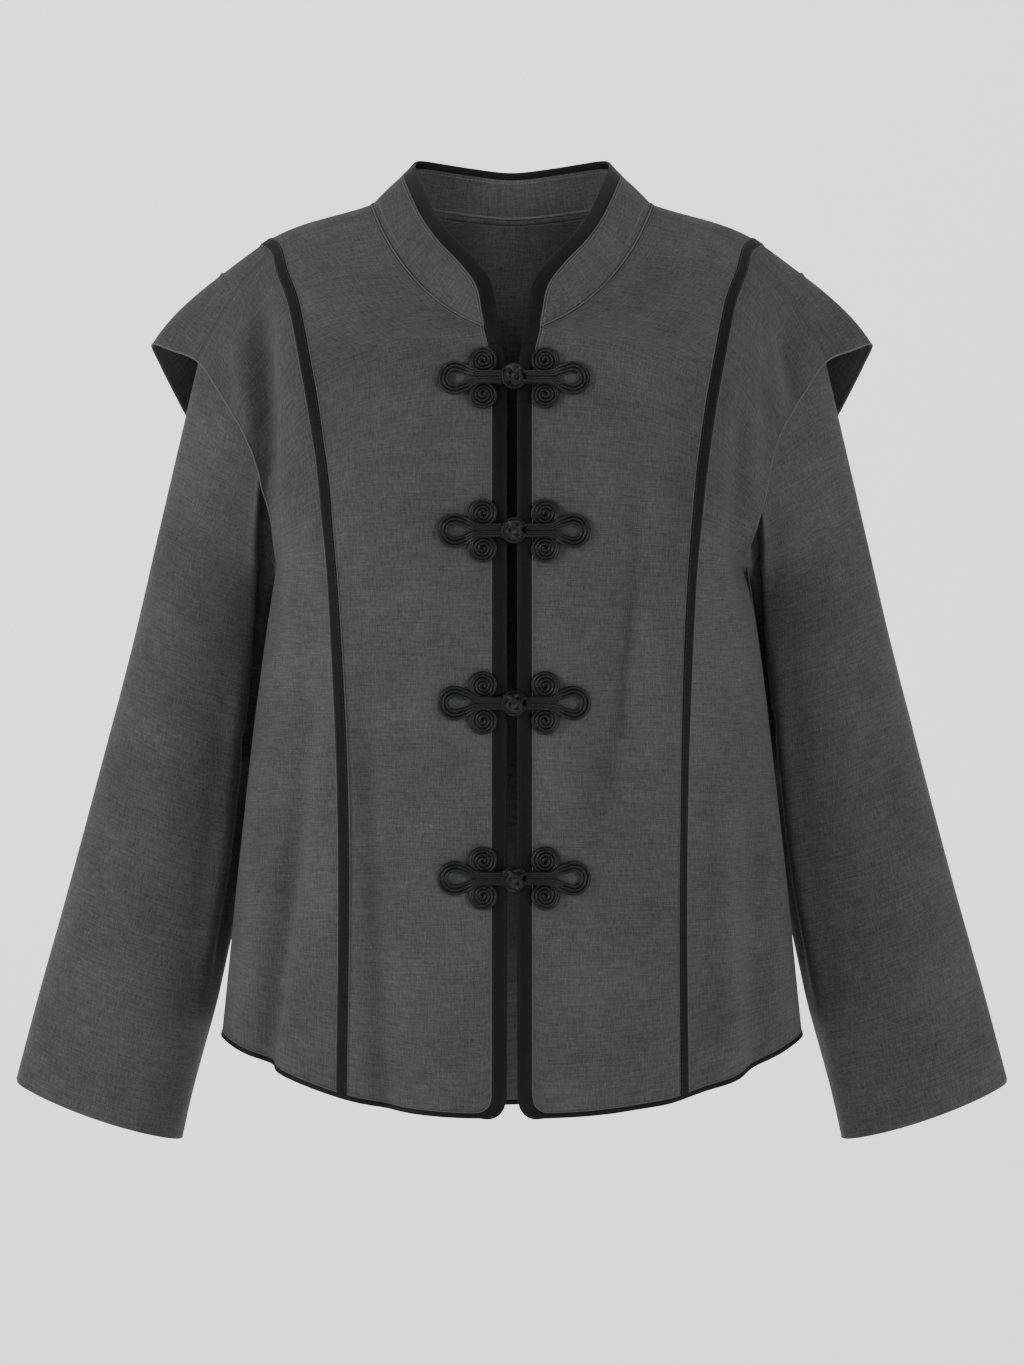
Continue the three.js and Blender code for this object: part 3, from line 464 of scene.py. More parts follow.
def weave_group():
    tree = bpy.data.node_groups.new("plain_weave", "ShaderNodeTree")
    for name, way in (("Thread", "INPUT"), ("Slub", "INPUT"), ("Tone", "OUTPUT"), ("Height", "OUTPUT")):
        tree.interface.new_socket(name, in_out=way, socket_type="NodeSocketFloat")
    given = add_node(tree, "NodeGroupInput")
    result = add_node(tree, "NodeGroupOutput")
    across, along = (math_node(tree, "DIVIDE", way, given.outputs["Thread"]) for way in thread_axes(tree))
    wave_across = math_node(tree, "SINE", math_node(tree, "MULTIPLY", across, math.pi))
    wave_along = math_node(tree, "SINE", math_node(tree, "MULTIPLY", along, math.pi))
    over = math_node(tree, "MULTIPLY", wave_across, wave_along)
    warp_on_top = math_node(tree, "ADD", math_node(tree, "MULTIPLY", over, 2.0), 0.5, clamp=True)
    warp_tone = stretched_noise(tree, across, along, x_scale=0.9, y_scale=0.07, seed=3.1)
    weft_tone = stretched_noise(tree, across, along, x_scale=0.05, y_scale=0.9, seed=7.7)
    mix = add_node(tree, "ShaderNodeMix")
    tree.links.new(warp_on_top, mix.inputs[0])
    tree.links.new(weft_tone, mix.inputs[2])
    tree.links.new(warp_tone, mix.inputs[3])
    cloud = stretched_noise(tree, across, along, x_scale=0.012, y_scale=0.010, seed=1.3, detail=4.0)
    speck = stretched_noise(tree, across, along, x_scale=0.55, y_scale=0.30, seed=12.0, detail=3.0)
    spread = varied(tree, mix.outputs[0], given.outputs["Slub"])
    shades = math_node(tree, "ADD", varied(tree, cloud, CLOUD_SPREAD), varied(tree, speck, SPECK_SPREAD))
    tone = math_node(tree, "ADD", math_node(tree, "ADD", spread, MIDDLE_TONE), shades, True)
    tree.links.new(tone, result.inputs["Tone"])
    round_across = math_node(tree, "ABSOLUTE", wave_across)
    bulge = math_node(tree, "MAXIMUM", round_across, math_node(tree, "ABSOLUTE", wave_along))
    fuzz = math_node(tree, "MULTIPLY", tone, 0.6)
    height = math_node(tree, "ADD", math_node(tree, "MULTIPLY", bulge, 0.5), fuzz)
    tree.links.new(height, result.inputs["Height"])
    return tree


WEAVE = weave_group()


def woven_material(name, dark, light, thread, slub, roughness, sheen, relief):
    material, tree, shader = new_material(name)
    weave = add_node(tree, "ShaderNodeGroup", node_tree=WEAVE)
    set_inputs(weave, {"Thread": thread, "Slub": slub})
    tone, height = weave.outputs["Tone"], weave.outputs["Height"]
    coloured_relief(tree, shader, tone, dark, light, height, relief, WEAVE_DEPTH)
    set_inputs(shader, {"Roughness": roughness, "Specular IOR Level": WEAVE_SHINE})
    set_inputs(shader, {"Sheen Weight": sheen, "Sheen Roughness": 0.5, "Sheen Tint": SHEEN_TINT})
    return material


CLOTH = woven_material(
    "charcoal_cloth", CLOTH_DARK, CLOTH_LIGHT, THREAD, slub=1.95, roughness=0.95, sheen=0.03, relief=0.5
)


JOIN_WITHIN = 0.02  # grid points closer together than this, in millimetres, are one


def grid_piece(name, grids, material, thick):
    """One sheet from grids of points in millimetres with the way that they face and their thread
    positions. Grids that share an edge are joined there, and the sheet gets its thickness inwards."""
    mesh = bmesh.new()
    layer = mesh.loops.layers.uv.new("threads")
    for points, normals, threads in grids:
        rows, columns = points.shape[:2]
        verts = [[mesh.verts.new(points[i, j] * MM) for j in range(columns)] for i in range(rows)]
        centre = (rows // 2, columns // 2)
        along = points[centre[0] + 1, centre[1]] - points[centre]
        across = points[centre[0], centre[1] + 1] - points[centre]
        forward = np.dot(np.cross(across, along), normals[centre]) > 0
        for i in range(rows - 1):
            for j in range(columns - 1):
                corners = [(i, j), (i, j + 1), (i + 1, j + 1), (i + 1, j)]
                if not forward:
                    corners.reverse()
                face = mesh.faces.new([verts[a][b] for a, b in corners])
                face.smooth = True
                for loop, (a, b) in zip(face.loops, corners):
                    loop[layer].uv = threads[a, b] * MM
    bmesh.ops.remove_doubles(mesh, verts=mesh.verts, dist=JOIN_WITHIN * MM)
    data = bpy.data.meshes.new(name)
    mesh.to_mesh(data)
    mesh.free()
    data.materials.append(material)
    piece = add_object(name, data)
    wall = piece.modifiers.new("thickness", "SOLIDIFY")
    wall.thickness = thick * MM
    wall.offset = -1
    wall.use_even_offset = False
    return piece


def lengths_along(path):
    """How far each point of a path lies from its start, along the path."""
    return np.concatenate([[0], np.cumsum(np.linalg.norm(np.diff(path, axis=0), axis=1))])


def thread_map(points):
    """How far each grid point lies along the cloth's two thread directions, in millimetres."""
    across = np.cumsum(np.linalg.norm(np.diff(points, axis=1), axis=2), axis=1)
    across = np.hstack([np.zeros((len(points), 1)), across])
    middle = points.shape[1] // 2
    along = lengths_along(points[:, middle])[:, None] + np.zeros_like(across)
    return np.stack([across, along], -1)


# Fronts and back: each front is a centre piece and a side piece cut in one with its shoulder cap, and
# the back is one centre piece between two side pieces. All are single cloth, joined by pressed seams.
CELL = 3.2  # size of the cloth's mesh, in millimetres
SEAM_CELLS = (0, 1.2, 2.6, 3.8, 4.6, 5.4, 6.6, 8.4)  # closer columns beside a seam
SEAM_CELLS_MOST = 0.3  # of a row's length, which they take up at each end at the most


def even_rows(u, start, end):
    """Row numbers from start to end, evenly spaced along the cloth, that keep the rows with corners."""
    stops = [start, *[r for r in (UNDERARM, NECK, BACK_NECK, BACK_UNDERARM) if start < r < end], end]
    rows = []
    for low, high in zip(stops, stops[1:]):
        fine = np.linspace(low, high, 400)
        path = smooth_body(np.full_like(fine, u), fine)
        length = lengths_along(path)
        count = max(3, int(length[-1] / CELL))
        rows.extend(np.interp(np.linspace(0, length[-1], count + 1), length, fine)[:-1])
    return np.array([*rows, end])


def panel_columns(rows, u_from, u_to, close_from, close_to):
    """Column places for each row, closer together beside the seams that are asked for."""
    reach = np.linalg.norm(smooth_body(u_to, rows) - smooth_body(u_from, rows), axis=1)
    count = int(reach.max() / CELL)
    close = np.array(SEAM_CELLS)
    start = close if close_from else close[:1]
    end = close if close_to else close[:1]
    inner = np.linspace(0, 1, max(4, count - len(start) - len(end) + 4))
    shares = []
    for length in reach:
        scale = min(1, SEAM_CELLS_MOST * length / close[-1])
        low = start * scale / length
        high = 1 - (end * scale / length)[::-1]
        middle = low[-1] + (high[0] - low[-1]) * inner[1:-1]
        shares.append(np.concatenate([low, middle, high]))
    return u_from + (u_to - u_from) * np.array(shares)


def panel(sign, u_from, u_to, row_from, row_to, close_from=True, close_to=True):
    rows = even_rows((u_from + u_to) / 2, row_from, row_to)
    u = panel_columns(rows, u_from, u_to, close_from, close_to)
    points, normals = cloth_points(sign, u, rows[:, None] + np.zeros_like(u))
    return points, normals, thread_map(points) * np.array([sign, 1])


def dress(piece, *nodes, slot):
    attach(piece, BODY)
    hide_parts(*nodes)


# Name, place on the body (u from and to, row from and to), flat size and area in metres
PANELS = (
    ("front_centre", (0, 1, FRONT_HEM, SHOULDER), (0.158, 0.731), 0.0880),
    ("front_side", (1, 2, FRONT_HEM, SHOULDER), (0.177, 0.678), 0.0790),
    ("back_side", (1, 2, SHOULDER, BACK_HEM), (0.156, 0.723), 0.0820),
)
for side, sign in SIDES:
    for name, place, flat, area in PANELS:
        cloth = grid_piece(f"cloth_{name}_{side}", [panel(sign, *place)], CLOTH, CLOTH_THICK)
        dress(cloth, f"{name}_{side}", slot="cloth")

back_halves = [panel(sign, 0, 1, SHOULDER, BACK_HEM, False, True) for _, sign in SIDES]
back_centre = grid_piece("cloth_back_centre", back_halves, CLOTH, CLOTH_THICK)
dress(back_centre, "back_centre", slot="cloth")

# Sleeves: wide straight tubes of the same cloth, set in under the caps, with a turned-up hem at the
# cuff. A row is one section from the cuff up: away point (x, z), near point (x, z), y and half depth.
SLEEVE_ROWS = [
    (375.6, -660.2, 250.3, -703.4, 52, 48),
    (357.5, -591.8, 235.0, -633.5, 52, 48),
    (338.4, -523.4, 220.3, -568.7, 51, 48),
    (320.1, -455.0, 206.5, -501.8, 50, 47),
    (302.4, -386.6, 196.5, -425.8, 47, 46),
    (284.6, -318.4, 187.0, -351.9, 40, 44),
    (268.4, -250.3, 178.6, -291.4, 32, 40),
]
# The sleeve's head, from the top of the shoulder down the front to the underarm and up the back: body
# row, how far it lies back under the cap's edge, and how far beneath the cloth, both as minus numbers
SLEEVE_HEAD = [
    (16, -68, -2.4), (15, -60, -2.6), (14, -50, -3.0), (13, -38, -3.8), (12, -27, -5.0), (11, -19, -6.5),
    (10, -12, -8.5), (9, -8, -10.5), (8, -5, -12.5), (7, -4, -13.5), (6, -3, -13.0), (5, -2, -9.0),
    (4, -2, -2.4), (24.4, -2, -2.4), (23.8, -3, -5.0), (23.2, -5, -7.0), (22.4, -9, -7.0),
    (21.6, -16, -5.0), (20.8, -24, -3.6), (20, -34, -2.8), (19.2, -44, -2.4), (18.4, -54, -2.3),
    (17.6, -63, -2.4), (16.8, -68, -2.4),
]
SEAM_BACK, SEAM_DEPTH = 9.0, -1.9  # from its head, the sleeve turns up to its seam under the cap
CUFF_BOW = 4.0
SLEEVE_FLATNESS = 0.7  # 1 is an ellipse; less is flatter in front and behind
HEAD_STEPS = (0.3, 0.62)
SLEEVE_ROUND = 370.0  # round the sleeve's cloth, in millimetres
SLEEVE_CELL = 3.2
SLEEVE_RADIUS, SLEEVE_LENGTH = 56, 620  # about, to count the mesh's cells


def head_points(sign, places):
    points = []
    for row, back, depth in places:
        row = np.array([float(row)])
        reach = np.linalg.norm(smooth_body(1, row) - smooth_body(2, row))
        point, normal = cloth_points(sign, np.array([2 + back / reach]), row)
        points.append((point + normal * depth)[0])
    return np.array(points)


def sleeve_ring(sign, row):
    away_x, away_z, near_x, near_z, y, half = row
    angle = 2 * math.pi * np.arange(24) / 24
    bow = CUFF_BOW if row == SLEEVE_ROWS[0] else 0
    x = (away_x + near_x) / 2 + (away_x - near_x) / 2 * np.cos(angle)
    z = (away_z + near_z) / 2 + (away_z - near_z) / 2 * np.cos(angle) - bow * np.sin(angle) ** 2
    depth = np.sign(np.sin(angle)) * np.abs(np.sin(angle)) ** SLEEVE_FLATNESS
    return np.stack([sign * x, y - half * depth, z], -1)


def between(p0, p1, p2, p3, t):
    """A smooth curve's point between p1 (t is 0) and p2 (t is 1), with the points next to them."""
    square = 2 * p0 - 5 * p1 + 4 * p2 - p3
    cube = 3 * p1 - p0 - 3 * p2 + p3
    return 0.5 * (2 * p1 + (p2 - p0) * t + square * t**2 + cube * t**3)


def round_ring(ring, count):
    """A closed ring of few points made into one of many, smooth between them."""
    total = len(ring)
    place = np.linspace(0, total, count, endpoint=False)
    k = place.astype(int)
    t = (place - k)[:, None]
    p0, p1, p2, p3 = (ring[(k + i) % total] for i in (-1, 0, 1, 2))
    return between(p0, p1, p2, p3, t)


# Creases of a sleeve: angle round it (degrees; 0 away from the body, 90 the front, 180 next to the body)
# at the upper and lower end, distance up from the cuff of the two ends, half width and rise
SLEEVE_CREASES = [
    (104, 172, 600, 240, 9, 9, 4.0),
    (118, 176, 610, 240, 12, 10, -12.0),
    (130, 150, 420, 60, 12, 10, 4.0),
    (156, 166, 400, 100, 11, 9, -6.0),
    (180, 180, 420, 20, 18, 18, 3.6),
    (62, 50, 420, 40, 9, 12, -1.4),
    (84, 96, 330, 0, 10, 12, 1.2),
    (20, 8, 330, 0, 10, 13, 1.3),
    (250, 262, 480, 40, 9, 12, -2.6),
    (300, 290, 520, 120, 10, 12, 2.0),
    (222, 214, 360, 0, 9, 11, 2.2),
]
# Drag lines across a sleeve: angle round it, distance up from the cuff, how wide and how tall, rise
SLEEVE_DRAGS = [
    (90, 330, 46, 12, -1.6),
    (140, 300, 40, 10, -2.0),
    (110, 372, 40, 9, -1.3),
    (60, 292, 34, 9, 1.1),
    (240, 320, 46, 12, -1.8),
    (280, 290, 40, 10, 1.4),
    (210, 352, 40, 10, -1.6),
]
DRAG_SLOPE = 0.35  # millimetres up for each degree round
LEFT_TURN, LEFT_HIGHER = 7, 14  # degrees and millimetres that set the left sleeve's creases apart


def sleeve_grid(sign):
    rings = [sleeve_ring(sign, row) for row in SLEEVE_ROWS]
    head = head_points(sign, SLEEVE_HEAD)
    seam = head_points(sign, [(row, back - SEAM_BACK, SEAM_DEPTH) for row, back, _ in SLEEVE_HEAD])
    rings += [rings[-1] * share + head * (1 - share) for share in (1 - HEAD_STEPS[0], 1 - HEAD_STEPS[1])]
    rings += [head, seam]
    around = int(2 * math.pi * SLEEVE_RADIUS / SLEEVE_CELL)
    rings = np.array([round_ring(ring, around) for ring in rings])
    rings = np.concatenate([rings, rings[:, :1]], axis=1)
    steps = len(rings) - 1
    count = int(SLEEVE_LENGTH / SLEEVE_CELL)
    place = np.linspace(0, steps, count)
    k = np.minimum(place.astype(int), steps - 1)
    t = (place - k)[:, None, None]
    p0, p1, p2, p3 = (rings[np.clip(k + i, 0, steps)] for i in (-1, 0, 1, 2))
    return between(p0, p1, p2, p3, t)


def grid_facing(points, closed):
    across = np.gradient(points, axis=1)
    if closed:
        wrap = (points[:, 1] - points[:, -2]) / 2
        across[:, 0] = wrap
        across[:, -1] = wrap
    return unit(np.cross(across, np.gradient(points, axis=0)))


def sleeve_threads(points, sign):
    """Thread positions of a sleeve: its threads run down its columns, and round it."""
    along = np.cumsum(np.linalg.norm(np.diff(points, axis=0), axis=2), axis=0)
    along = np.vstack([np.zeros((1, points.shape[1])), along])
    across = np.linspace(0, SLEEVE_ROUND, points.shape[1])[None, :] + np.zeros_like(along)
    return np.stack([across * sign, along], -1)


def sleeve_folds(points, sign):
    """How far the cloth of a sleeve stands out or in for its creases, at each grid point."""
    rows, columns = points.shape[:2]
    degrees = np.linspace(0, 360, columns)[None, :]
    up = lengths_along(points.mean(axis=1))[:, None]
    rise = np.zeros((rows, columns))
    for a0, a1, top, bottom, w0, w1, height in SLEEVE_CREASES:
        t = (up - top) / (bottom - top)
        middle = a0 + (a1 - a0) * t + (LEFT_TURN if sign > 0 else 0)
        away = np.abs((degrees - middle + 180) % 360 - 180)
        width = np.maximum(2, w0 + (w1 - w0) * t)
        ends = smooth((1 - t) * 4) if bottom > 0 else 1.0
        rise += np.where((t > 0) & (t < 1), height * smooth(t * 3) * ends * np.exp(-((away / width) ** 2)), 0)
    for angle, level, wide, tall, height in SLEEVE_DRAGS:
        level = level + (LEFT_HIGHER if sign > 0 else 0)
        away = (degrees - angle + 180) % 360 - 180
        above = up - level - away * DRAG_SLOPE
        rise += height * np.exp(-((away / wide) ** 2)) * np.exp(-((above / tall) ** 2))
    return rise


for side, sign in SIDES:
    points = sleeve_grid(sign)
    normals = grid_facing(points, True) * -sign
    points = points + normals * sleeve_folds(points, sign)[..., None]
    threads = sleeve_threads(points, sign)
    sleeve = grid_piece(f"cloth_sleeve_{side}", [(points, normals, threads)], CLOTH, CLOTH_THICK)
    dress(sleeve, f"sleeve_{side}", slot="cloth")

# Collar: a standing band of two layers, pressed, from the neckline to its rounded front corners, with
# black binding over its top edge. A row is its top cloth edge at each body row from front to back.
COLLAR_TOP = [
    (20.4, -70.6, -91.0),
    (25.8, -63, -64.6),
    (38.4, -53, -46.8),
    (54.8, -41, -28.8),
    (67.4, -25, -9.6),
    (75.9, -7, 9.6),
    (80.4, 10, 21.5),
    (78.5, 24, 25.8),
    (70.6, 36, 27.0),
    (54.6, 45, 25.3),
    (30.4, 50, 22.0),
    (0, 52, 19.0),
]
# It has more grid rows near its rounded front corners, up to the row of their end
COLLAR_CORNER_ROW, COLLAR_CORNER_COUNT, COLLAR_COUNT, COLLAR_COLUMNS = 11, 22, 80, 15
COLLAR_BOW = 0.04
COLLAR_THICK = 1.4
BINDING_FRONT, BINDING_BACK = 10.3, 5.2  # the binding is narrower round the back, where the cloth is higher
NARROWING_ROWS = 4  # behind the shoulder seam, over which it changes
collar_top = seam_line(COLLAR_TOP, (), len(COLLAR_TOP) - 1)


def collar_points(sign, row, share):
    row, share = np.broadcast_arrays(np.asarray(row, float), np.asarray(share, float))
    base = cloth_points(sign, np.zeros_like(row), row)[0]
    top = collar_top(row - NECK) * np.array([sign, 1, 1])
    top[..., 2] += (BINDING_FRONT - BINDING_BACK) * smooth((row - SHOULDER) / NARROWING_ROWS)
    bow = COLLAR_BOW * np.linalg.norm(top - base, axis=-1) * np.sin(math.pi * share)
    point = base * (1 - share)[..., None] + top * share[..., None]
    away = unit(point * np.array([1, 1, 0]))
    point = point + away * bow[..., None]
    point[..., 0] = np.where(row >= BACK_NECK, 0, point[..., 0])
    return point


def collar_grid(sign):
    corner = np.linspace(NECK, COLLAR_CORNER_ROW, COLLAR_CORNER_COUNT)
    rows = np.concatenate([corner, np.linspace(COLLAR_CORNER_ROW, BACK_NECK, COLLAR_COUNT)[1:]])
    share = np.linspace(0, 1, COLLAR_COLUMNS)
    points = collar_points(sign, rows[:, None], share[None, :])
    normals = unit(np.cross(np.gradient(points, axis=0), np.gradient(points, axis=1))) * sign
    threads = thread_map(points)
    threads[..., 1] = (threads[..., 1] - threads[-1, 0, 1]) * sign
    return points, normals, threads


collar = grid_piece("cloth_collar", [collar_grid(sign) for _, sign in SIDES], CLOTH, COLLAR_THICK)
dress(collar, "collar", slot="cloth")

# Binding: bias strips of black satin-backed cotton folded over the edges of the cloth, down both front
# edges and round the hem, and over the top of the collar.
TRIM_DARK = (0.0018, 0.0018, 0.0019, 1)
TRIM_LIGHT = (0.0058, 0.0058, 0.006, 1)
BINDING_HEM = 3.0
BINDING_LAP = 0.8  # how far the binding reaches back over the cloth
BINDING_THICK = 2.4
CORNER_REACH = 12.0  # from the front edge along the hem, over which the binding narrows
HEM_END = 1.99  # where the hem bindings end, just before the outer line
HEM_STEPS = 120
TRIM = woven_material(
    "black_binding", TRIM_DARK, TRIM_LIGHT, thread=0.00042, slub=0.8, roughness=0.6, sheen=0.02, relief=0.35
)


def sweep(name, loops, threads, material):
    """A closed tube through loops of points, with flat ends."""
    rows, columns = loops.shape[:2]
    points = loops.reshape(-1, 3)
    faces = []
    for i in range(rows - 1):
        for j in range(columns):
            k = (j + 1) % columns
            faces.append((i * columns + j, i * columns + k, (i + 1) * columns + k, (i + 1) * columns + j))
    faces.append(tuple(range(columns))[::-1])
    faces.append(tuple((rows - 1) * columns + j for j in range(columns)))
    piece = make_mesh(name, points * MM, faces, material)
    layer = piece.data.uv_layers.new(name="threads")
    where = threads.reshape(-1, 2) * MM
    for polygon in piece.data.polygons:
        for index in polygon.loop_indices:
            layer.data[index].uv = where[piece.data.loops[index].vertex_index]
    mesh = bmesh.new()
    mesh.from_mesh(piece.data)
    bmesh.ops.recalc_face_normals(mesh, faces=mesh.faces)
    mesh.to_mesh(piece.data)
    mesh.free()
    return piece


def folded_strip(name, line, start, widths, thick, material, lift):
    """A strip with rounded long edges beside or on a line, which is its points, the way that the cloth
    faces there and the way across it. The start and the widths are measured across the line."""
    points, normals, outs = line
    widths = widths + np.zeros(len(points))
    turn = np.linspace(0, 2 * math.pi, 15)[:-1]
    flat = np.sign(np.cos(turn)) * np.abs(np.cos(turn)) ** 0.45
    tall = np.sign(np.sin(turn)) * np.abs(np.sin(turn)) ** 0.75
    middle = (start + widths / 2)[:, None, None]
    half = (widths / 2)[:, None, None]
    loops = (
        points[:, None]
        + outs[:, None] * (middle + half * flat[None, :, None])
        + normals[:, None] * (lift + thick / 2 * tall[None, :, None])
    )
    length = lengths_along(points)
    round_it = np.cumsum(np.linalg.norm(np.roll(loops, -1, axis=1) - loops, axis=2), axis=1)
    diagonal = np.stack([length[:, None] + round_it, length[:, None] - round_it], -1) / math.sqrt(2)
    return sweep(name, loops, diagonal, material)


def edge_ways(points, normals, inside):
    """The ways across a line that lead away from the points inside."""
    along = np.gradient(points, axis=0)
    outs = unit(np.cross(along, normals))
    wrong = np.sum(outs * (inside - points), axis=1) > 0
    outs[wrong] *= -1
    return outs


CORNER_U, CORNER_ROW = 0.12, 0.25  # a place on the cloth well inside its front corner


def front_edge(sign):
    """The cloth's edge from the neck down the front, round the corner and along the hem."""
    down = even_rows(0, FRONT_HEM, NECK)[::-1]
    first = np.stack([np.zeros_like(down), down], -1)
    share = [np.linspace(0, CORNER_U, 12)[1:], np.linspace(CORNER_U, HEM_END, 110)[1:]]
    share = np.concatenate(share)
    second = np.stack([share, np.zeros_like(share)], -1)
    place = np.vstack([first, second])
    points, normals = cloth_points(sign, place[:, 0], place[:, 1])
    inner_place = np.maximum(place, [CORNER_U, CORNER_ROW])
    inside = cloth_points(sign, inner_place[:, 0], inner_place[:, 1])[0]
    from_corner = np.abs(points[:, 0]) - FRONT_EDGE
    narrow = smooth(from_corner / CORNER_REACH)
    widths = BINDING_FRONT + (BINDING_HEM - BINDING_FRONT) * narrow
    return points, normals, edge_ways(points, normals, inside), widths


for side, sign in SIDES:
    *line, widths = front_edge(sign)
    name = f"binding_strip_front_{side}"
    strip = folded_strip(name, line, -BINDING_LAP, widths + BINDING_LAP, BINDING_THICK, TRIM, -0.5)
    dress(strip, f"binding_front_{side}", slot="trim")

out_and_in = np.linspace(HEM_END, 0, HEM_STEPS)
right_half = cloth_points(-1, out_and_in, np.full(HEM_STEPS, float(BACK_HEM)))
left_half = cloth_points(1, out_and_in[-2::-1], np.full(HEM_STEPS - 1, float(BACK_HEM)))
hem_points = np.vstack([right_half[0], left_half[0]])
hem_normals = np.vstack([right_half[1], left_half[1]])
hem_outs = edge_ways(hem_points, hem_normals, hem_points + np.array([0, 0, 20.0]))
hem_line = (hem_points, hem_normals, hem_outs)
hem_width = BINDING_HEM + BINDING_LAP
name = "binding_strip_hem_back"
hem_strip = folded_strip(name, hem_line, -BINDING_LAP, hem_width, BINDING_THICK, TRIM, -0.5)
dress(hem_strip, "binding_hem_back", slot="trim")


def collar_edge():
    """The collar's top edge, with a short run of the front edges below it so that the bindings meet."""
    rows = np.concatenate([np.linspace(NECK, 10, 16), np.linspace(10, BACK_NECK, 90)[1:]])
    below = np.linspace(NECK - 0.7, NECK - 0.1, 7)
    behind = np.concatenate([below, rows]) - SHOULDER
    widths = BINDING_FRONT + (BINDING_BACK - BINDING_FRONT) * smooth(behind / NARROWING_ROWS)
    halves = []
    for _, sign in SIDES:
        inwards = np.array([sign * 8.0, 0, -2.0])
        points = collar_points(sign, rows, np.ones_like(rows))
        lower = collar_points(sign, rows, np.full_like(rows, 0.9))
        lower[:4] = points[:4] + inwards
        front = cloth_points(sign, np.zeros_like(below), below)[0]
        points = np.vstack([front, points])
        lower = np.vstack([front + inwards, lower])
        normals = unit(np.cross(np.gradient(points, axis=0), points - lower)) * sign
        normals[-1] = unit(normals[-1] * np.array([0, 1, 1]))
        halves.append((points, normals, lower, widths))
    left, right = halves
    return [np.concatenate([r[:-1], l[::-1]]) for l, r in zip(left, right)]


points, normals, lower, widths = collar_edge()
collar_line = (points, normals, edge_ways(points, normals, lower))
widths = widths + BINDING_LAP
name = "binding_strip_collar"
collar_strip = folded_strip(name, collar_line, -BINDING_LAP, widths, BINDING_THICK, TRIM, -0.6)
dress(collar_strip, "binding_collar", slot="trim")

# Princess tapes: flat black cotton tape stitched over each princess seam, from the front hem over the
# shoulder to the back hem.
TAPE_WIDTH, TAPE_THICK = 8.4, 1.0
TAPE = woven_material(
    "black_tape", TRIM_DARK, TRIM_LIGHT, thread=0.0005, slub=0.7, roughness=0.7, sheen=0.02, relief=0.5
)


def princess_path(sign, rows):
    """A princess seam's points, the way that the cloth faces there and the way across the seam."""
    points, normals = cloth_points(sign, np.ones_like(rows), rows)
    return points, normals, unit(np.cross(np.gradient(points, axis=0), normals))


for side, sign in SIDES:
    rows = np.concatenate([even_rows(1, FRONT_HEM, SHOULDER), even_rows(1, SHOULDER, BACK_HEM)[1:]])
    line = princess_path(sign, rows)
    name = f"tape_princess_{side}"
    tape = folded_strip(name, line, -TAPE_WIDTH / 2, TAPE_WIDTH, TAPE_THICK, TAPE, TAPE_THICK / 2)
    dress(tape, f"princess_tape_{side}", slot="trim")

# Pressed edges and seams: the cloth's folded edges stand up as fine ridges, painted lighter than the
# cloth as a highlight, along the caps, the collar seam, the shoulder seams, the cuffs, and beside the
# tapes and bindings.
# The ridges' colours are both lighter than the cloth's: a painted highlight along each ridge.
RIDGE_HIGHLIGHT_DARK = (0.045, 0.045, 0.045, 1)
RIDGE_HIGHLIGHT_LIGHT = (0.112, 0.112, 0.112, 1)
EDGE_SIDES = 6
EDGE_BESIDE = 0.5  # from a tape or binding to the ridge beside it
SEAM_ROWS = np.linspace(FRONT_HEM + 0.02, BACK_HEM - 0.02, 420)
NECK_TAPE_FROM, NECK_TAPE_SHARE = 12, 0.14  # its first row, and how far up the collar's inside it lies
SEAM_ALLOWANCE_SHARE = 0.022  # where the second line of the collar seam runs, as a share of the panel
RIDGE_HIGHLIGHT = woven_material(
    "pressed_edge_painted_highlight", RIDGE_HIGHLIGHT_DARK, RIDGE_HIGHLIGHT_LIGHT, thread=0.0006, slub=1.2, roughness=0.9, sheen=0.03, relief=0.4
)


def tube_loops(points, normals, radius, sides):
    """Rings of points round a line, with their thread positions."""
    along = unit(np.gradient(points, axis=0))
    side_way = unit(np.cross(normals, along))
    up_way = np.cross(along, side_way)
    turn = np.linspace(0, 2 * math.pi, sides, endpoint=False)
    loops = points[:, None] + radius * (
        side_way[:, None] * np.cos(turn)[None, :, None] + up_way[:, None] * np.sin(turn)[None, :, None]
    )
    length = lengths_along(points)
    threads = np.stack(np.broadcast_arrays(turn[None, :] * radius, length[:, None]), -1)
    return loops, threads


def raised_line(name, points, normals, radius, lift):
    """A ridge of pressed cloth along points, painted lighter than the cloth as a highlight; lift raises its
    middle above them.
    """
    loops, threads = tube_loops(points + normals * lift, normals, radius, EDGE_SIDES)
    line = sweep(name, loops, threads, RIDGE_HIGHLIGHT)
    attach(line, BODY)


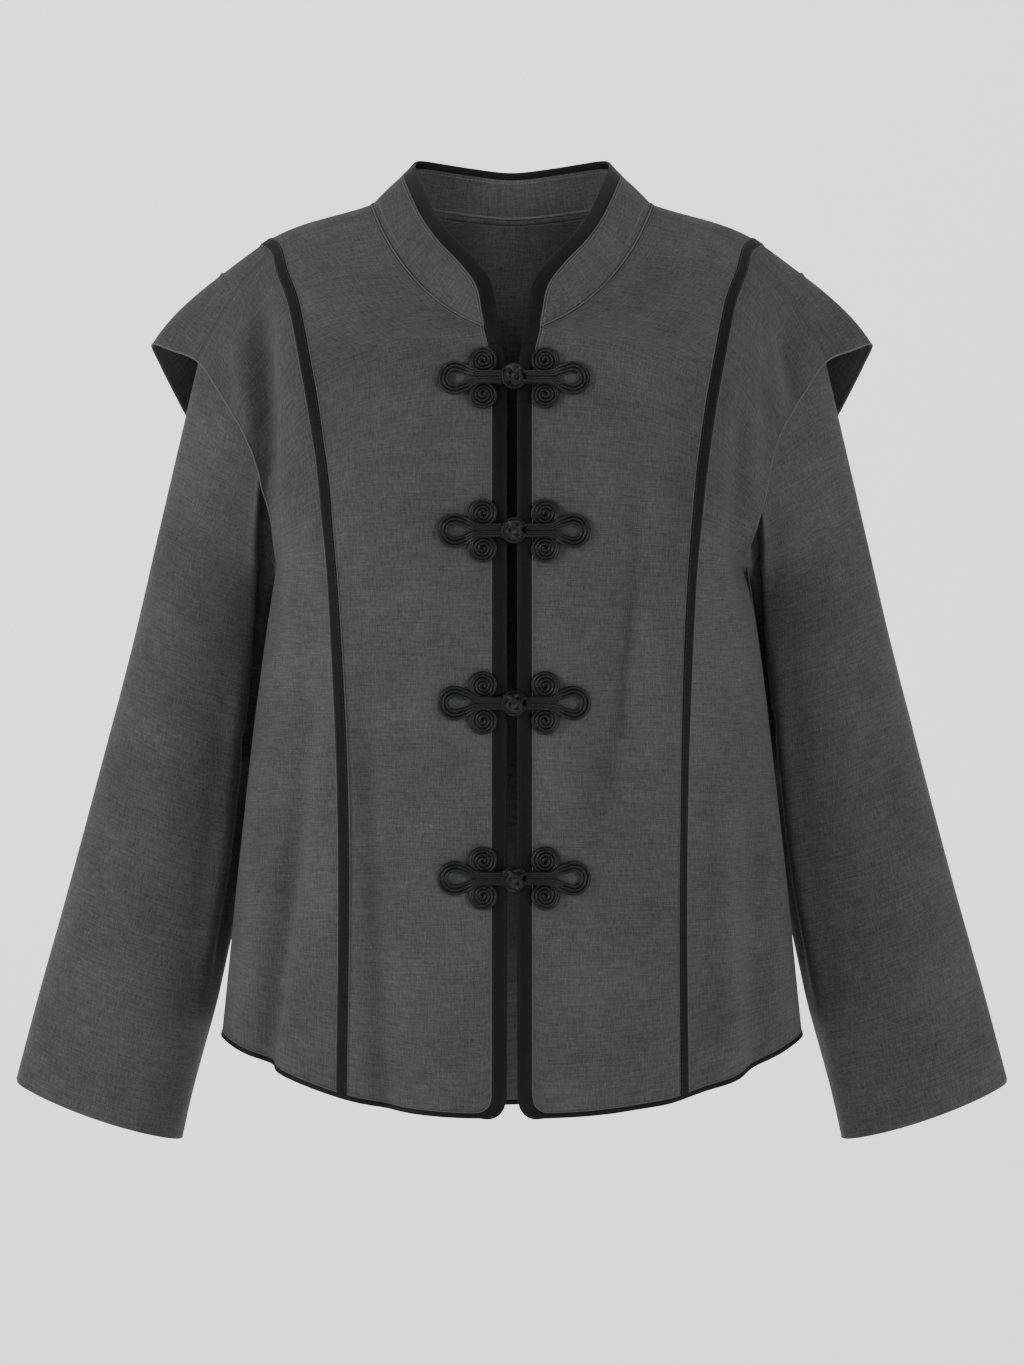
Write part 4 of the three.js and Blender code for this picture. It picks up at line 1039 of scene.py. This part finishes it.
for side, sign in SIDES:
    cap_rows = np.linspace(UNDERARM + 0.4, BACK_UNDERARM - 0.9, 260)
    points, normals = cloth_points(sign, np.full_like(cap_rows, 2.0), cap_rows)
    raised_line(f"edge_cap_{side}", points, normals, radius=0.75, lift=-0.3)

    neck_rows = np.linspace(NECK + 0.05, BACK_NECK, 130)
    points, normals = cloth_points(sign, np.zeros_like(neck_rows), neck_rows)
    raised_line(f"edge_collar_seam_{side}", points, normals, radius=0.6, lift=0.5)
    tape_rows = neck_rows[neck_rows > NECK_TAPE_FROM]
    foot = collar_points(sign, tape_rows, np.full_like(tape_rows, NECK_TAPE_SHARE))
    inwards = unit(foot * np.array([-1, -1, 0]))
    raised_line(f"edge_neck_tape_{side}", foot, inwards, radius=1.1, lift=COLLAR_THICK + 0.5)
    points, normals = cloth_points(sign, np.full_like(neck_rows, SEAM_ALLOWANCE_SHARE), neck_rows)
    raised_line(f"edge_collar_stitch_{side}", points, normals, radius=0.35, lift=0.05)

    across = np.linspace(0.03, 1.98, 90)
    points, normals = cloth_points(sign, across, np.full_like(across, float(SHOULDER)))
    raised_line(f"edge_shoulder_{side}", points, normals, radius=0.45, lift=0.05)

    points, normals, outs = princess_path(sign, SEAM_ROWS)
    for way in (-1, 1):
        name = f"edge_tape_{side}_{'in' if way < 0 else 'out'}"
        beside = points + outs * way * (TAPE_WIDTH / 2 + EDGE_BESIDE)
        raised_line(name, beside, normals, radius=0.45, lift=0.1)

    points, normals, outs, _ = front_edge(sign)
    beside = points - outs * (BINDING_LAP + EDGE_BESIDE)
    raised_line(f"edge_binding_{side}", beside, normals, radius=0.45, lift=0.15)

    cuff = sleeve_grid(sign)[0]
    cuff_ways = grid_facing(sleeve_grid(sign)[:2], True)[0] * -sign
    raised_line(f"edge_cuff_{side}", cuff, cuff_ways, radius=0.6, lift=-0.3)

points, normals, outs = collar_line
beside = points - outs * (BINDING_LAP + EDGE_BESIDE)
raised_line("edge_collar_binding", beside, normals, radius=0.45, lift=0.1)

# Stitches: short machine stitches in black thread along both sides of each tape, and in the light grey of
# the ridges' painted highlight under the collar's binding, all laid one by one along their seams.
STITCH_SPACING, STITCH_LENGTH, STITCH_THICK = 2.9, 2.1, 0.22
STITCH_INSET = 0.9  # from the tape's edge
STITCH_BELOW = 2.4  # from the collar's binding
STITCH_RAISE = 0.25  # above the collar's cloth
STITCH_SEEDS = {"tape": 11, "collar": 21}


def stitch_group():
    tree = bpy.data.node_groups.new("stitch_row", "GeometryNodeTree")
    for name, kind in (
        ("Line", "Geometry"), ("Spacing", "Float"), ("Length", "Float"), ("Radius", "Float"),
        ("Seed", "Int"), ("Thread", "Material"),
    ):
        tree.interface.new_socket(name, in_out="INPUT", socket_type="NodeSocket" + kind)
    tree.interface.new_socket("Stitches", in_out="OUTPUT", socket_type="NodeSocketGeometry")
    given = add_node(tree, "NodeGroupInput")
    result = add_node(tree, "NodeGroupOutput")
    curve = add_node(tree, "GeometryNodeMeshToCurve")
    spaced = add_node(tree, "GeometryNodeResampleCurve", mode="LENGTH")
    stitch = add_node(tree, "GeometryNodeMeshCylinder")
    stitch.inputs["Vertices"].default_value = 6
    tangent = add_node(tree, "GeometryNodeInputTangent")
    turned = add_node(tree, "FunctionNodeAlignRotationToVector", axis="Z")
    uneven = add_node(tree, "FunctionNodeRandomValue", data_type="FLOAT")
    uneven.inputs[2].default_value = 0.85
    uneven.inputs[3].default_value = 1.1
    placed = add_node(tree, "GeometryNodeInstanceOnPoints")
    real = add_node(tree, "GeometryNodeRealizeInstances")
    coloured = add_node(tree, "GeometryNodeSetMaterial")
    links = (
        (given, "Line", curve, "Mesh"),
        (curve, "Curve", spaced, "Curve"),
        (given, "Spacing", spaced, "Length"),
        (given, "Length", stitch, "Depth"),
        (given, "Radius", stitch, "Radius"),
        (given, "Seed", uneven, "Seed"),
        (tangent, "Tangent", turned, "Vector"),
        (spaced, "Curve", placed, "Points"),
        (stitch, "Mesh", placed, "Instance"),
        (turned, "Rotation", placed, "Rotation"),
        (uneven, 1, placed, "Scale"),
        (placed, "Instances", real, "Geometry"),
        (real, "Geometry", coloured, "Geometry"),
        (given, "Thread", coloured, "Material"),
        (coloured, "Geometry", result, "Stitches"),
    )
    for start, output, end, socket in links:
        tree.links.new(start.outputs[output], end.inputs[socket])
    return tree


STITCHES = stitch_group()
THREAD_MATERIALS = {
    "black": plain_material("black_thread", TRIM_LIGHT, 0.6),
    "cloth": plain_material("cloth_thread", RIDGE_HIGHLIGHT_LIGHT, 0.8),
}


def stitch_row(name, points, seed, thread):
    mesh = bpy.data.meshes.new(name)
    mesh.from_pydata([tuple(p * MM) for p in points], [(i, i + 1) for i in range(len(points) - 1)], [])
    row = add_object(name, mesh)
    nodes = row.modifiers.new("stitches", "NODES")
    nodes.node_group = STITCHES
    values = {
        "Spacing": STITCH_SPACING * MM,
        "Length": STITCH_LENGTH * MM,
        "Radius": STITCH_THICK * MM,
        "Seed": seed,
        "Thread": THREAD_MATERIALS[thread],
    }
    for socket in STITCHES.interface.items_tree:
        if socket.in_out == "INPUT" and socket.name in values:
            nodes[socket.identifier] = values[socket.name]
    seen = row.evaluated_get(bpy.context.evaluated_depsgraph_get())
    row.data = bpy.data.meshes.new_from_object(seen)
    row.modifiers.clear()
    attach(row, BODY)


for side, sign in SIDES:
    points, normals, outs = princess_path(sign, SEAM_ROWS)
    for way in (-1, 1):
        line = points + outs * way * (TAPE_WIDTH / 2 - STITCH_INSET) + normals * TAPE_THICK
        stitch_row(f"stitches_tape_{side}_{way + 2}", line, STITCH_SEEDS["tape"] + way, "black")
points, normals, outs = collar_line
for way, lift in ((1, STITCH_RAISE), (-1, COLLAR_THICK + STITCH_RAISE)):
    line = points - outs * (BINDING_LAP + STITCH_BELOW) + normals * way * lift
    stitch_row(f"stitches_collar_{way + 2}", line, STITCH_SEEDS["collar"] + way, "cloth")

# Frogs: black satin cord, coiled flat and sewn down. Each half has a teardrop end loop, two coils and
# four stems; the right half ends in a ball knot, and the left half in a loop that goes round it.
FROG_HEIGHTS = (-135.3, -247.6, -373.1, -500.8)
FROG_MIDDLE = 1.5
CORD_RADIUS = 1.25
CORD_PITCH = 2.65  # between two turns that lie side by side
COIL_AT, COIL_UP, COIL_RADIUS = 22.8, 12.6, 9.4
COIL_OUTER_TURN = 0.7  # of a turn, before the coil begins to close in
COIL_EYE = 1.0  # the radius at which it ends
COIL_RISE, STEM_RISE = 1.1, 1.0  # how much higher its middle lies, and its stem at the knot
END_AT, END_REACH, END_HALF = 43.2, 12.6, 12.6
END_TURN = 0.7  # of half a turn, from its far end to its tails
TAIL_AT = 26.0  # where the end loop's rows come together
TAIL_APART, TAIL_PITCH = 3.7, 1.35  # from the middle to the outer row there, and to the next one
TAIL_OVER, TAIL_RISE = 7.0, 1.7  # over how much of their length the tails rise over the coils, and how far
STEM_END = 8.5
KNOT_RADIUS = 5.4
KNOT_LIFT = 6.4
KNOT_CORE = 5.0
KNOT_CORD = 2.05  # the radius of the knot's thicker cord
KNOT_TURNS = 3
KNOT_TILT, KNOT_SWELL = 0.95, 0.8  # how far, in radians and millimetres, the cord weaves over and under
KNOT_STEM = ((2, 4.0), (6, 2.6), (10, 2.1))  # how a stem comes down from the knot: outwards, and up
CORE_RINGS, CORE_SIDES, CORE_HOLE = 12, 16, 0.05
LOOP_RADIUS = 8.2
LOOP_OPEN = 0.14  # of half a turn, on each side of the stems
LOOP_LIFT = 3.4
LOOP_FOOT, LOOP_FOOT_LIFT = 14, 1.9  # where its ends lie on the stems
STEMS = (-3.9, -1.3, 1.3, 3.9)  # where the four stems lie, across the frog
CORD_BASE = 0.75  # how far above the cloth the cords' paths start
# The colour of the cord strands' crests, a painted highlight; their grooves take the trim's dark colour as
# painted shade
CORD_CREST_HIGHLIGHT = (0.0085, 0.0085, 0.009, 1)
CORD_TWIST = 0.0022  # from one strand of the cord to the next, in metres
CORD_DEPTH = 0.0002  # how far its strands stand out, in metres
CORD_SIDES = 10
CORD_STEP = 0.8


def cord_material():
    material, tree, shader = new_material("black_cord_painted_strand_shade")
    across, along = thread_axes(tree)
    twist = math_node(tree, "ADD", math_node(tree, "MULTIPLY", across, 3.0), along)
    ridge = math_node(tree, "SINE", math_node(tree, "MULTIPLY", twist, 2 * math.pi / CORD_TWIST))
    # The colour follows the twist: crests are painted lighter and the grooves darker, painted highlight and
    # shade besides the bump
    tone = math_node(tree, "ADD", math_node(tree, "MULTIPLY", ridge, 0.5), 0.5, clamp=True)
    coloured_relief(tree, shader, tone, TRIM_DARK, CORD_CREST_HIGHLIGHT, ridge, 0.5, CORD_DEPTH)
    set_inputs(shader, {"Roughness": 0.38, "Specular IOR Level": 0.25})
    return material


CORD = cord_material()


PLACE_ROUNDS = 8  # each round comes closer to the place that has the right x and height
PLACE_STEP = 0.01  # to the points beside one, for how x and height change there
PANEL_WIDTH = 112  # about, for the first guess


def front_places(sign, x, z):
    """Where the front lies at each x and height, and the way that it faces there."""
    out = x * sign
    u = np.clip((out - FRONT_EDGE) / PANEL_WIDTH, -0.2, 1)
    front_z = np.array([BODY_ROWS[k][2] for k in range(NECK + 1)])
    row = np.interp(z, front_z, np.arange(NECK + 1))
    for _ in range(PLACE_ROUNDS):
        here = smooth_body(u, row)
        by_u = smooth_body(u + PLACE_STEP, row) - here
        by_row = smooth_body(u, row + PLACE_STEP) - here
        miss_x, miss_z = out - here[:, 0], z - here[:, 2]
        spread = (by_u[:, 0] * by_row[:, 2] - by_row[:, 0] * by_u[:, 2]) / PLACE_STEP
        u = u + (miss_x * by_row[:, 2] - miss_z * by_row[:, 0]) / spread
        row = np.clip(row + (miss_z * by_u[:, 0] - miss_x * by_u[:, 2]) / spread, PLACE_STEP, NECK)
    points, normals = cloth_points(sign, np.clip(u, 0, 1), row)
    points[:, 0] = x
    return points, normals


def evenly(path, step):
    path = np.array(path, float)
    length = lengths_along(path)
    place = np.linspace(0, length[-1], max(3, int(length[-1] / step)))
    return np.stack([np.interp(place, length, path[:, k]) for k in range(path.shape[1])], -1)


def coil_path(up):
    """From the knot along the stems, out and round into a flat coil; up is where the coil lies."""
    turn_way = math.copysign(1, up)
    stem = STEMS[-1] * turn_way
    turns = COIL_OUTER_TURN + (COIL_RADIUS - COIL_EYE) / CORD_PITCH
    t = np.linspace(0, 1, 240)
    radius = COIL_RADIUS - CORD_PITCH * np.maximum(0, turns * t - COIL_OUTER_TURN)
    angle = turn_way * (-math.pi / 2 + 2 * math.pi * turns * t)
    lift = CORD_RADIUS + COIL_RISE * t**2
    coil = np.stack([COIL_AT + radius * np.cos(angle), up + radius * np.sin(angle), lift], -1)
    s = np.linspace(0, 1, 24)[:-1]
    a = STEM_END + (coil[0, 0] - STEM_END) * s
    b = stem + (coil[0, 1] - stem) * smooth(s)
    lead = np.stack([a, b, CORD_RADIUS + STEM_RISE * (1 - smooth(s))], -1)
    return np.vstack([lead, coil])


def end_path(row):
    """One row of the loop at the frog's end, with its two tails drawn in over the coils to the knot."""
    reach = END_REACH - CORD_RADIUS - CORD_PITCH * row
    half = END_HALF - CORD_RADIUS - CORD_PITCH * row
    t = np.linspace(-END_TURN, END_TURN, 70) * math.pi
    a = END_AT + reach * np.cos(t)
    b = half * np.sin(t)
    close = TAIL_APART - TAIL_PITCH * row
    s = np.linspace(0, 1, 40)[1:]
    tail_a = a[-1] + (STEM_END - a[-1]) * s
    tail_b = b[-1] + (close - b[-1]) * smooth((a[-1] - tail_a) / (a[-1] - TAIL_AT))
    tail = np.stack([tail_a, tail_b], -1)
    line = np.vstack([tail[::-1] * [1, -1], np.stack([a, b], -1), tail])
    over = smooth((END_AT - TAIL_OVER - line[:, 0]) / TAIL_OVER)
    return np.column_stack([line, CORD_RADIUS + TAIL_RISE * over])


def knot_path():
    """A ball knot: one cord laid over and under itself as it goes round a ball."""
    t = np.linspace(0, 2 * math.pi * KNOT_TURNS, 320)
    tilt = KNOT_TILT * np.cos(4 * t / KNOT_TURNS)
    radius = KNOT_RADIUS + KNOT_SWELL * np.sin(8 * t / KNOT_TURNS)
    a = radius * np.sin(tilt)
    b = radius * np.cos(tilt) * np.cos(t)
    return np.stack([a, b, KNOT_LIFT + radius * np.cos(tilt) * np.sin(t)], -1)


def loop_path(radius):
    """The loop round the knot, with its ends on the stems."""
    t = np.linspace(LOOP_OPEN, 2 - LOOP_OPEN, 50) * math.pi
    ring = np.stack([radius * np.cos(t), radius * np.sin(t), np.full_like(t, LOOP_LIFT)], -1)
    first, last = ([LOOP_FOOT, ring[end, 1], LOOP_FOOT_LIFT] for end in (0, -1))
    return np.vstack([first, ring, last])


def half_frog(name, sign, height, has_knot):
    paths = [(coil_path(COIL_UP), CORD_RADIUS), (coil_path(-COIL_UP), CORD_RADIUS)]
    paths += [(end_path(row), CORD_RADIUS) for row in (0, 1, 2)]
    if has_knot:
        paths.append((knot_path(), KNOT_CORD))
        for b in STEMS:
            paths.append((np.array([[a, b, lift] for a, lift in KNOT_STEM]), CORD_RADIUS))
    else:
        for radius in (LOOP_RADIUS - CORD_PITCH / 2, LOOP_RADIUS):
            paths.append((loop_path(radius), CORD_RADIUS))
    cords = []
    for path, radius in paths:
        path = evenly(path, CORD_STEP)
        x = FROG_MIDDLE + sign * path[:, 0]
        points, normals = front_places(sign, x, height + path[:, 1])
        points = points + normals * (path[:, 2:] + CORD_BASE)
        loops, threads = tube_loops(points, normals, radius, CORD_SIDES)
        cords.append(sweep(name, loops, threads, CORD))
    if has_knot:
        cords.append(knot_core(name, height))
    return join_pieces(name, cords)


def knot_core(name, height):
    """The ball inside the knot, which fills the gaps between its turns."""
    point, normal = front_places(1, np.array([FRONT_EDGE]), np.array([height]))
    centre = point[0] + normal[0] * (KNOT_LIFT + CORD_BASE)
    centre[0] = FROG_MIDDLE
    turn = np.linspace(CORE_HOLE, math.pi - CORE_HOLE, CORE_RINGS)
    points = centre - KNOT_CORE * np.cos(turn)[:, None] * np.array([1, 0, 0])
    around = np.linspace(0, 2 * math.pi, CORE_SIDES, endpoint=False)
    spokes = np.stack([np.zeros(CORE_SIDES), np.cos(around), np.sin(around)], -1)
    loops = points[:, None] + KNOT_CORE * np.sin(turn)[:, None, None] * spokes[None]
    return sweep(name, loops, loops[..., 1:], CORD)


def join_pieces(name, pieces):
    mesh = bmesh.new()
    for piece in pieces:
        mesh.from_mesh(piece.data)
        bpy.data.objects.remove(piece)
    data = bpy.data.meshes.new(name)
    mesh.to_mesh(data)
    mesh.free()
    data.materials.append(CORD)
    return add_object(name, data)


for number, height in enumerate(FROG_HEIGHTS, 1):
    for side, sign in SIDES:
        frog = half_frog(f"frog_cord_{number}_{side}", sign, height, side == "right")
        dress(frog, f"frog_{number}_{side}", slot="trim")
